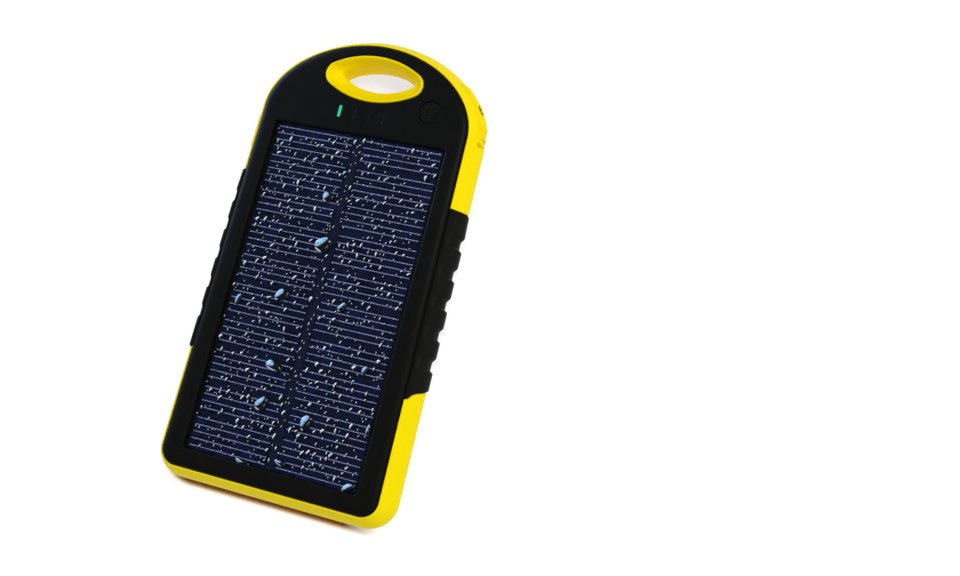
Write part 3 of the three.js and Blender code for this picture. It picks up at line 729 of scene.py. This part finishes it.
def smoothstep(value, low, high):
    share = min(max((value - low) / (high - low), 0.0), 1.0)
    return share * share * (3 - 2 * share)


def rounding(share):
    """How far a rounded edge falls, from 1 at its rim to 0 where share reaches 1."""
    left = 1 - min(max(share, 0.0), 1.0)
    return 1 - math.sqrt(1 - left ** 2)


def notch(y, z):
    """A long slope in, a flat floor and a steep way out. Notches get shallower towards the cover."""
    deepest = 0.0
    for i in range(NOTCH_COUNT):
        past = NOTCH_FIRST - i * NOTCH_PITCH - y
        slope = smoothstep(past, -NOTCH_SLOPE, -NOTCH_FLOOR)
        step = 1 - smoothstep(past, NOTCH_FLOOR, NOTCH_STEP)
        deepest = max(deepest, slope * step)
    return NOTCH_DEPTH * deepest * (1 - 0.7 * smoothstep(z, 9, 13))


def grip_mesh(side):
    name = "grip_right_rubber" if side > 0 else "grip_left_rubber"
    edge = COVER_INSET - FIT
    outer = [(distance * 0.96, z) for z, distance in FINE_PROFILE]
    inner = [(min(profile_at(z) + GRIP_SINK - GRIP_GAP, edge), z)
             for z in (11.0, 9.5, 8.2, 7.0, 5.5, 3.6, 2.6, 1.6, 1.0)]
    section = [(3.12, 0.62)] + outer + [(3.2, 12.06), (edge, 12.0)] + inner
    outside = len(outer) + 2
    verts = []
    steps = 260
    for i in range(steps + 1):
        share = i / steps
        for k, (distance, z) in enumerate(section):
            low = along(BAND_FOOT, z) + GRIP_GAP
            high = along(BAND_TOP, z) - GRIP_GAP
            y = low + (high - low) * share
            x = half_at(y) - distance
            if k < outside:
                x += GRIP_PROUD - GRIP_EASE * smoothstep(y, NOTCH_FIRST, GRIP_TO) - notch(y, z)
                x -= GRIP_ROUND * rounding(min(y - low, high - y) / GRIP_ROUND)
            verts.append((side * x, y, z))
    piece = make(name, verts, stack_faces(steps + 1, len(section)))
    paint(piece, black_rubber)
    settle(piece, "housing", "black_rubber", "grip_right" if side > 0 else "grip_left")


def band_cutter(side):
    """Takes the frame's skin away where a grip lies, and its whole rim beside the cover."""
    rows = [(z, profile_at(z) + GRIP_SINK) for z in (0.1, 0.9, 1.6, 2.6, 3.6, 5.5, 7.0, 8.2, 9.5, 10.2)]
    rows += [(10.3, COVER_INSET + 0.6), (12.8, COVER_INSET + 0.6)]
    steps = 40
    verts = []
    for z, depth in rows:
        low, high = along(BAND_FOOT, z), along(BAND_TOP, z)
        ys = [low + (high - low) * i / steps for i in range(steps + 1)]
        loop = [(half_at(y) - depth, y) for y in ys] + [(45.0, y) for y in reversed(ys)]
        verts += [(side * x, y, z) for x, y in loop]
    return make("band_cutter", verts, stack_faces(len(rows), 2 * (steps + 1)))


# ---- yellow frame
def body_core(name, extra):
    """The whole body's outside, this much further in."""
    rows = FINE_PROFILE[::2]
    return loft(name, [inset(distance + extra) for _, distance in rows], [z for z, _ in rows])


def mid_frame():
    section = [(WALL, 0.5)] + [(distance, z) for z, distance in FINE_PROFILE]
    section += [(COVER_INSET - FIT, RIM_TOP), (COVER_INSET - FIT, LEDGE_TOP)]
    section += [(LEDGE_REACH, LEDGE_TOP), (LEDGE_REACH, LEDGE_UNDER), (WALL, LEDGE_UNDER)]
    loops = [inset(distance) for distance, _ in section]
    piece = loft("yellow_frame", loops, [z for _, z in section], closed_ring=True)
    blocks = []
    cuts = []
    for port in PORTS:
        half, low, top = port.half, port.low, port.top
        wide, high = port.socket[0] / 2 + 0.2, port.socket[1] / 2 + 0.2
        block = port.block("block", -6.3, 1, -half - 2, half + 2, PLATE_BACK + 0.1, 9.6)
        blocks.append(boolean(block, [body_core("core", 0.5)], "INTERSECT"))
        cuts.append(port.block("pocket", -FLAP_BACK - 0.25, 6, port.pocket_end, half + 0.1, low, top, 0.3))
        cuts.append(port.block("heel_room", port.pin_n - 0.15, 0, port.pocket_end, port.pin_s, low, top))
        cuts.append(port.rod("knuckle_room", port.pin_n, port.pin_s, KNUCKLE + 0.2, low, top))
        cuts.append(port.block("mouth", -9, -FLAP_BACK, -wide, wide, PORT_Z - high, PORT_Z + high, 0.3))
        cuts.append(port.rod("pin_hole", port.pin_n, port.pin_s, PIN_RADIUS + 0.03, 1.15, 9.35))
    boolean(piece, blocks, "UNION")
    boolean(piece, [band_cutter(1), band_cutter(-1)] + cuts)
    paint(piece, yellow_plastic)
    settle(piece, "housing", "yellow_plastic", "mid_frame")


# ---- port flaps
def flap(port):
    """The silicone cap: a slab that follows the frame's side, with rounded edges and a nail notch whose faces
    are painted dark as shade.
    """
    low, top = port.low + 0.2, port.top - 0.2
    s0, s1 = port.pin_s, port.half - 0.2
    across, up = 72, 26
    verts = []
    hollow = set()
    for j in range(up + 1):
        z = low + (top - low) * j / up
        for i in range(across + 1):
            s = s0 + (s1 - s0) * i / across
            n = port.surface(s, z) + FLAP_PROUD * smoothstep(s, s0 + FLAP_STEP - 0.3, s0 + FLAP_STEP + 0.3)
            margin = min(z - low, top - z, s1 - s)
            n -= FLAP_DROP * rounding(margin / FLAP_ROUND)
            nail = math.hypot((s - NAIL_S) / NAIL_LONG, (z - PORT_Z - NAIL_RISE) / NAIL_HIGH)
            if nail < 1:
                n -= NAIL_DEPTH * math.sqrt(1 - nail * nail)
                hollow.add(len(verts))
            verts.append(port.world(n, s, z))
    width = across + 1
    back = len(verts)
    faces = []
    for j in range(up):
        for i in range(across):
            a = j * width + i
            faces.append((a, a + 1, a + 1 + width, a + width))
    rim = [(0, i) for i in range(across)] + [(j, across) for j in range(up)]
    rim += [(up, i) for i in range(across, 0, -1)] + [(j, 0) for j in range(up, 0, -1)]
    for j, i in rim:
        s = s0 + (s1 - s0) * i / across
        z = low + (top - low) * j / up
        verts.append(port.world(-FLAP_BACK, s, z))
    for k, (j, i) in enumerate(rim):
        after_j, after_i = rim[(k + 1) % len(rim)]
        faces.append((j * width + i, after_j * width + after_i, back + (k + 1) % len(rim), back + k))
    faces.append(tuple(back + k for k in range(len(rim))))
    piece = make("flap_" + port.label, verts, faces)
    paint(piece, yellow_silicone, nail_painted_shade)
    # The faces in the nail hollow get the painted shade material.
    shaded = [tuple(c * MM for c in verts[i]) for i in hollow]
    tree = KDTree(len(shaded))
    for i, spot in enumerate(shaded):
        tree.insert(spot, i)
    tree.balance()
    for polygon in piece.data.polygons:
        if tree.find(polygon.center)[2] < 0.25 * MM:
            polygon.material_index = 1
    wide, high, long = port.plug
    knuckle = port.rod("knuckle", port.pin_n, port.pin_s, KNUCKLE, low, top, 48)
    parts = [
        boolean(knuckle, [body_core("core", 0.02)], "INTERSECT"),
        port.block("plug", -FLAP_BACK - long, -FLAP_BACK + 0.3, -wide / 2, wide / 2,
                   PORT_Z - high / 2, PORT_Z + high / 2, 0.4),
    ]
    boolean(piece, parts, "UNION")
    boolean(piece, [port.rod("pin_room", port.pin_n, port.pin_s, PIN_RADIUS + 0.08, 0, 12)])
    settle(piece, "flap_" + port.label, "yellow_silicone", "port_flap_" + port.label)


# ---- eye
def eye_ring():
    outer = [
        (EYE_HALF - 0.35, 0.1), (EYE_HALF - 0.1, 0.22), (EYE_HALF, 0.5), (EYE_HALF, 12.6),
        (EYE_HALF - 0.06, 12.8), (EYE_HALF - 0.2, 12.97), (EYE_HALF - 0.42, 13.05),
    ]
    # Half width, rise, end radius, shift towards the hanging end and height, from the lip down
    waist = (THROAT_HALF, THROAT_RISE, THROAT_END, THROAT_SHIFT)
    throat = [
        (15.05, 6.65, 3.6, 0.0, 12.98),
        (14.55, 6.2, 3.2, 0.1, 12.45),
        (13.75, 5.55, 2.6, 0.4, 11.4),
        (12.9, 4.9, 1.6, 0.9, 10.35),
        (*waist, 9.2),
        (*waist, 6.0),
        (*waist, 3.2),
        (13.3, 5.2, 2.4, 0.6, 1.6),
        (14.6, 6.3, 3.4, 0.1, 0.35),
    ]
    loops = []
    for half, _ in outer:
        back = EYE_HALF - half
        loops.append(eye_loop(half, EYE_RISE - back, EYE_END - back, EYE_Y))
    heights = [z for _, z in outer]
    for half, rise, end, shift, z in smooth_rows(throat, 4):
        loops.append(eye_loop(half, rise, end, EYE_Y + shift))
        heights.append(z)
    piece = loft("eye_lip", loops, heights, closed_ring=True, sharp_angle=50)
    paint(piece, yellow_plastic)
    settle(piece, "housing", "yellow_plastic", "eye_ring")


def eye_opening(grow=0.0):
    gap = FIT + grow
    return eye_loop(EYE_HALF + gap, EYE_RISE + gap, EYE_END + gap, EYE_Y)


# ---- front cover
def window_loop(grow, radius):
    """The panel window's outline, larger by grow all round."""
    x = WINDOW_HALF + grow
    return round_rect(-x, x, WINDOW_FOOT - grow, WINDOW_TOP + grow, radius)


def front_cover():
    rim = [
        (0.0, COVER_UNDER), (0.0, 11.7), (0.06, 11.95), (0.25, 12.3),
        (0.6, 12.6), (1.2, 12.82), (2.2, 12.95), (3.8, BODY_HEIGHT),
    ]
    rows = smooth_rows(rim, 3)
    piece = loft("cover_black", [inset(COVER_INSET + step) for step, _ in rows], [z for _, z in rows])
    skirt = prism("skirt", window_loop(WINDOW_LIP, 1.6), 9.6, COVER_UNDER + 0.2)
    boolean(piece, [skirt], "UNION")

    def window(grow):
        return window_loop(grow, 0.8 + grow)

    def button_bore(grow):
        return circle(BUTTON_X, BUTTON_Y, BUTTON_RADIUS + 0.12 + grow, 64)

    shelf = window_loop(-WINDOW_SHELF, 1.0)
    cutters = [
        lip_cutter("window", window, 10.3, BODY_HEIGHT, 0.55),
        prism("shelf", shelf, 9, 11),
        lip_cutter("eye", eye_opening, 9, BODY_HEIGHT, 0.35),
        lip_cutter("bore", button_bore, 9, BODY_HEIGHT, 0.22),
    ]
    for x in SLOT_XS:
        def slot_loop(grow, x=x):
            wide, long = SLOT_WIDE / 2 + grow, SLOT_LONG / 2 + grow
            return round_rect(x - wide, x + wide, SLOT_Y - long, SLOT_Y + long, wide - 0.01)
        cutters.append(lip_cutter("slot", slot_loop, 9, BODY_HEIGHT, 0.12, 3))
    boolean(piece, cutters)
    paint(piece, black_cover)
    settle(piece, "housing", "black_cover", "front_cover")


# ---- power button
def power_button():
    rim = [(0.0, 11.4), (0.0, 12.5), (0.06, 12.64), (0.2, 12.74), (0.4, 12.8), (0.7, 12.82)]
    loops = [circle(BUTTON_X, BUTTON_Y, BUTTON_RADIUS - step, 72) for step, _ in rim]
    piece = loft("power_button_cap", loops, [z for _, z in rim])
    arc = []
    gap = math.radians(36)
    for radius, order in ((1.78, 1), (1.40, -1)):
        turns = [math.radians(90) + gap + (2 * math.pi - 2 * gap) * i / 48 for i in range(49)]
        arc += [(BUTTON_X + radius * math.cos(t), BUTTON_Y + radius * math.sin(t)) for t in turns[::order]]
    bar = round_rect(BUTTON_X - 0.19, BUTTON_X + 0.19, BUTTON_Y + 0.35, BUTTON_Y + 2.0, 0.17)
    stem = circle(BUTTON_X, BUTTON_Y, 1.3, 32)
    parts = [prism("arc", arc, 12.6, 13.11), prism("bar", bar, 12.6, 13.11), prism("stem", stem, 10.96, 11.6)]
    boolean(piece, parts, "UNION")
    # A fine ring moulded round the rim.
    ring_out = prism("ring_out", circle(BUTTON_X, BUTTON_Y, 2.75, 72), 12.6, 13.3)
    ring_in = prism("ring_in", circle(BUTTON_X, BUTTON_Y, 2.45, 72), 12.5, 13.4)
    boolean(ring_out, [ring_in])
    boolean(piece, [ring_out])
    paint(piece, black_rubber)
    settle(piece, "button", "black_rubber", "power_button")


# ---- rear cover
def rear_cover():
    rim = [(4.3, 0.0), (3.95, 0.1), (3.65, 0.3), (3.45, 0.55), (3.4, 0.8), (3.4, PLATE_BACK)]
    piece = loft("rear_cover_black", [inset(step) for step, _ in rim], [z for _, z in rim])
    cutters = [
        prism("eye", eye_opening(), -1, 3),
        prism("torch_seat", circle(TORCH_X, TORCH_Y, 4.35), -1, 0.9),
        prism("torch_bore", circle(TORCH_X, TORCH_Y, 2.65), -1, 3),
        prism("label", round_rect(-24, 24, -60, 24, 4), -1, 0.25),
    ]
    for x, y in SCREW_SPOTS:
        for side in (x, -x):
            cutters.append(prism("head", circle(side, y, 2.0, 32), -1, 1.0))
            cutters.append(prism("shank", circle(side, y, 1.15, 24), -1, 3))
    boolean(piece, cutters)
    paint(piece, black_cover)
    settle(piece, "housing", "black_cover", "rear_cover")


# ---- solar panel
def slab(x0, x1, y0, y1, z0, z1, chamfer):
    """A chamfered slab as (verts, faces)."""
    loops = [(0.0, z0), (0.0, z1 - chamfer), (chamfer, z1)]
    verts = []
    for step, z in loops:
        xs = (x0 + step, x1 - step)
        ys = (y0 + step, y1 - step)
        verts += [(xs[0], ys[0], z), (xs[1], ys[0], z), (xs[1], ys[1], z), (xs[0], ys[1], z)]
    faces = [(3, 2, 1, 0), (8, 9, 10, 11)]
    for level in (0, 4):
        for i in range(4):
            j = (i + 1) % 4
            faces.append((level + i, level + j, level + 4 + j, level + 4 + i))
    return verts, faces


def many(name, solids, materials):
    """One piece from (verts, faces, material index) shells."""
    verts, faces, slots = [], [], []
    for solid_verts, solid_faces, index in solids:
        start = len(verts)
        verts += solid_verts
        faces += [tuple(start + v for v in face) for face in solid_faces]
        slots += [index] * len(solid_faces)
    piece = raw(name, verts, faces)
    for material in materials:
        piece.data.materials.append(material)
    for polygon, index in zip(piece.data.polygons, slots):
        polygon.material_index = index
    return piece


CELL_BOTTOM, CELL_TOP = 11.22, 11.42
FINGER_WIDE, FINGER_HIGH = 0.26, 0.04


def cell_column(side):
    """Ten cells with their printed silver fingers."""
    shells = []
    first = FIRST_LINE
    inner = side * (CENTRE_BAND / 2 - 0.6)
    outer = side * (PANEL_HALF + 0.15)
    x0, x1 = min(inner, outer), max(inner, outer)
    line0, line1 = sorted((side * CENTRE_BAND / 2, side * PANEL_HALF))
    for lines in LINE_COUNTS:
        edge = (LINE_PITCH + LINE_EXTRA) / 2 - 0.3
        foot = first - (lines - 1) * LINE_PITCH - edge
        shells.append((*slab(x0, x1, foot, first + edge, CELL_BOTTOM, CELL_TOP, 0.05), 0))
        for i in range(lines):
            y = first - i * LINE_PITCH
            bar = slab(line0, line1, y - FINGER_WIDE / 2, y + FINGER_WIDE / 2, CELL_TOP - 0.01,
                       CELL_TOP + FINGER_HIGH, 0.015)
            shells.append((*bar, 1))
        first -= lines * LINE_PITCH + LINE_EXTRA
    name = "cells_right" if side > 0 else "cells_left"
    piece = many(name, shells, [cells_material, fingers_material])
    settle(piece, "housing", "silicon_cells", "cell_string_right" if side > 0 else "cell_string_left")


def panel_sheet():
    gap = 0.12
    rim = [(0.0, 11.5), (0.0, SHEET_TOP - gap), (gap, SHEET_TOP)]
    loops = [window_loop(-gap - step, 0.7) for step, _ in rim]
    piece = loft("resin_sheet", loops, [z for _, z in rim])
    paint(piece, resin)
    settle(piece, "housing", "panel_resin", "panel_sheet")


# ---- water
# Large drops: x, y, half length, half width and turn in degrees.
BIG_DROPS = [
    (-4.4, 19.1, 2.1, 1.5, 12), (-1.8, 4.9, 2.9, 2.4, 40), (-10.2, -12.2, 2.5, 1.8, 35),
    (8.9, -11.9, 1.7, 1.1, 50), (-23.5, -16.3, 1.9, 0.9, 75), (-6.7, -32.9, 3.1, 1.5, -15),
    (-7.3, -44.2, 2.4, 1.9, 45), (7.5, -46.2, 2.5, 1.9, 60), (26.0, -43.9, 1.6, 0.8, 80),
    (24.6, -60.6, 2.4, 1.1, 30), (-8.3, -61.6, 2.4, 0.8, -10), (-11.5, 29.5, 1.0, 0.7, 40),
    (20.5, -28.0, 1.5, 0.9, 60), (3.0, -59.0, 1.9, 0.8, -10), (12.0, 27.5, 1.1, 0.7, 45),
]
STREAK_TURN = 63
DROPS = 900
MOST_TRIES = 20000
DROP_MARGIN = 1.2


def drop_shell(x, y, z, wide, long, high, turn, rings, around, wobble):
    """A flat-bottomed dome, slightly uneven."""
    verts = [(x, y, z + high)]
    faces = []
    for r in range(1, rings + 1):
        slope = math.radians(90 * r / rings)
        for k in range(around):
            angle = 2 * math.pi * k / around
            uneven = 1 + 0.07 * math.sin(3 * angle + wobble) + 0.05 * math.sin(2 * angle + 2.3 * wobble)
            u = wide * math.sin(slope) * math.cos(angle) * uneven
            v = long * math.sin(slope) * math.sin(angle) * uneven
            verts.append((
                x + u * math.cos(turn) - v * math.sin(turn),
                y + u * math.sin(turn) + v * math.cos(turn),
                z + high * math.cos(slope),
            ))
    for k in range(around):
        faces.append((0, 1 + k, 1 + (k + 1) % around))
    for r in range(rings - 1):
        for k in range(around):
            a = 1 + r * around + k
            b = 1 + r * around + (k + 1) % around
            faces.append((a, a + around, b + around, b))
    faces.append(tuple(reversed([1 + (rings - 1) * around + k for k in range(around)])))
    return verts, faces


def water_drops():
    draw = random.Random(7)
    base = SHEET_TOP + 0.004
    shells = []
    taken = []
    for x, y, long, wide, degrees in BIG_DROPS:
        high = min(0.5 * math.sqrt(wide * long), 1.2)
        turn = math.radians(degrees)
        shells.append((*drop_shell(x, y, base, long, wide, high, turn, 12, 40, draw.random() * 6), 0))
        taken.append((x, y, max(wide, long)))
    tries = 0
    while len(taken) < DROPS and tries < MOST_TRIES:
        tries += 1
        long = 0.28 + 0.68 * draw.random() ** 3
        wide = long * draw.uniform(0.45, 0.75)
        x = draw.uniform(-WINDOW_HALF + DROP_MARGIN, WINDOW_HALF - DROP_MARGIN)
        y = draw.uniform(WINDOW_FOOT + DROP_MARGIN, WINDOW_TOP - DROP_MARGIN)
        if any(math.hypot(x - a, y - b) < long + c + 0.08 for a, b, c in taken):
            continue
        turn = math.radians(STREAK_TURN + draw.gauss(0, 22))
        high = 0.75 * wide
        shells.append((*drop_shell(x, y, base, long, wide, high, turn, 5, 12, draw.random() * 6), 1))
        taken.append((x, y, long))
    piece = many("water_drops", shells, [water_material, bead_material])
    tidy(piece, 60)
    settle(piece, "housing", "panel_resin")


# ---- the CAD nodes that stay
NODE_MATERIALS = {
    "panel_substrate": backsheet_material,
    "main_board": board_green,
    "protection_board": board_green,
    "battery_pouch": foil,
    "battery_pad": foam,
    "battery_wire_positive": wire_red,
    "panel_wire_positive": wire_red,
    "battery_wire_negative": wire_black,
    "panel_wire_negative": wire_black,
    "boost_inductor": ferrite,
    "bulk_capacitor": ferrite,
    "controller_chip": chip_black,
    "charger_chip": chip_black,
    "switch_body": steel,
    "switch_plunger": chip_black,
    "cover_gasket": gasket_grey,
    "torch_led": torch_plastic,
    "torch_lens": torch_plastic,
    "light_pipe_1": green_glow,
    "light_pipe_2": smoked_pipe,
    "light_pipe_3": smoked_pipe,
    "light_pipe_4": smoked_pipe,
}


def material_for(node):
    if node in NODE_MATERIALS:
        return NODE_MATERIALS[node]
    if node.startswith("usb_tongue"):
        return chip_black if node.endswith("micro") else white_plastic
    if node.startswith("indicator_led"):
        return white_plastic
    return steel


def dress_nodes():
    for name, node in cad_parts.items():
        material = material_for(name)
        if not node.material_slots:
            node.data.materials.append(material)
        for spot in node.material_slots:
            spot.material = material


# ---- table, light and camera
TABLE_GLOW = 0.71
# The table's painted contact shadow reaches this far, in millimetres.
PAINTED_SHADOW_REACH = 4.0  # the table darkens this near to whatever stands on it
TABLE_REACH = 3.0


def table_top():
    mesh = bpy.data.meshes.new("table")
    r = TABLE_REACH
    corners = [(-r, -r, 0), (r, -r, 0), (r, r, 0), (-r, r, 0)]
    mesh.from_pydata(corners, [], [(0, 1, 2, 3)])
    table = in_scene("table", mesh)
    n = Nodes("table_white")
    body = n.principled(Roughness=0.9, Specular_IOR_Level=0.1, Emission_Strength=TABLE_GLOW)
    near = n.add("ShaderNodeAmbientOcclusion", Distance=PAINTED_SHADOW_REACH * MM)
    # Painted shadow colours, from the darkest next to the charger out to white.
    painted_shadow_brown, painted_shadow_amber, white = (0.14, 0.035, 0.004, 1), (0.66, 0.45, 0.16, 1), (1, 1, 1, 1)
    painted_contact_shadow = n.ramp(near.outputs["AO"], [(0.79, painted_shadow_brown), (0.87, painted_shadow_amber), (0.95, white)])
    # A painted contact shadow: the dark line under the edge is painted at the foot end, and fades out towards
    # the right corner.
    axes = n.axes()
    foot = n.add("ShaderNodeMath", operation="MULTIPLY")
    n.link(n.reach(axes["Y"], FOOT_Y + 20, FOOT_Y + 5), foot.inputs[0])
    n.link(n.reach(axes["X"], 32, 22), foot.inputs[1])
    shade = n.blend(foot.outputs["Value"], white, painted_contact_shadow)
    # Painted shade: the table seen through the eye is painted a light grey, standing in for the charger's
    # shade there.
    from_eye = n.add("ShaderNodeVectorMath", operation="DISTANCE")
    n.link(n.place, from_eye.inputs[0])
    from_eye.inputs[1].default_value = (0, (EYE_Y + THROAT_SHIFT) * MM, 0)
    eye_painted_shade = n.reach(from_eye.outputs["Value"], 13.5, 12.5)
    glow = n.blend(eye_painted_shade, white, (0.77, 0.79, 0.93, 1))
    # The painted shadow and the painted eye shade darken both the table's glow and its base colour.
    n.link(n.blend(1.0, glow, shade), body.inputs["Emission Color"])
    grey = n.ramp(n.noise(30), [(0.3, (0.36, 0.36, 0.36, 1)), (0.7, (0.38, 0.38, 0.38, 1))])
    n.link(n.blend(1.0, grey, shade), body.inputs["Base Color"])
    table.data.materials.append(n.material)


def lamp(name, place, size, watts, colour):
    """A square lamp aimed at the middle of the charger's back."""
    data = bpy.data.lights.new(name, "AREA")
    data.shape = "SQUARE"
    data.size = size
    data.energy = watts
    data.color = colour
    light = in_scene(name, data)
    light.location = place
    light.rotation_euler = (-Vector(place)).to_track_quat("-Z", "Y").to_euler()
    return light


def studio():
    world = bpy.data.worlds.new("studio")
    bpy.context.scene.world = world
    world.use_nodes = True
    background = world.node_tree.nodes["Background"]
    background.inputs["Color"].default_value = (1, 1, 1, 1)
    background.inputs["Strength"].default_value = 0.28
    white = (1, 1, 1)
    lamp("key", (0.34, 0.36, 0.95), 0.3, 5.2, white)
    lamp("side", (0.8, 0.15, 0.45), 0.5, 1.1, white)
    lamp("fill", (0.38, -0.32, 0.95), 0.3, 1.8, white)
    lamp("left", (-0.7, -0.1, 0.35), 0.3, 1.0, white)
    # A blue panel low at the upper left, which only shows as reflections.
    sky = lamp("sky", (-0.5, 0.28, 0.12), 0.38, 8.0, (0.42, 0.68, 1.0))
    sky.visible_diffuse = False


CAMERA_AT = (116.67, -35.82, 281.6)
CAMERA_AIM = (45.76, 2.79, 6.0)
CAMERA_ROLL = 14.06
CAMERA_LENS = 37.5


def camera():
    data = bpy.data.cameras.new("camera")
    data.lens = CAMERA_LENS
    data.sensor_width = 36.0
    data.clip_start = 0.01
    view = in_scene("camera", data)
    ahead = (Vector(CAMERA_AIM) - Vector(CAMERA_AT)).normalized()
    level = Vector((0, 1, 0))
    up = (level - ahead * level.dot(ahead)).normalized()
    right = ahead.cross(up)
    turn = math.radians(CAMERA_ROLL)
    up, right = up * math.cos(turn) - right * math.sin(turn), right * math.cos(turn) + up * math.sin(turn)
    axes = Matrix((right, up, -ahead)).transposed().to_4x4()
    view.matrix_world = Matrix.Translation(Vector(CAMERA_AT) * MM) @ axes
    bpy.context.scene.camera = view


# ---- build
dress_nodes()
mid_frame()
for port in PORTS:
    flap(port)
for side in (1, -1):
    grip_mesh(side)
    cell_column(side)
eye_ring()
front_cover()
rear_cover()
power_button()
panel_sheet()
water_drops()
table_top()
studio()
camera()
bpy.context.scene.view_settings.view_transform = "Standard"
bpy.context.scene.view_settings.look = "None"
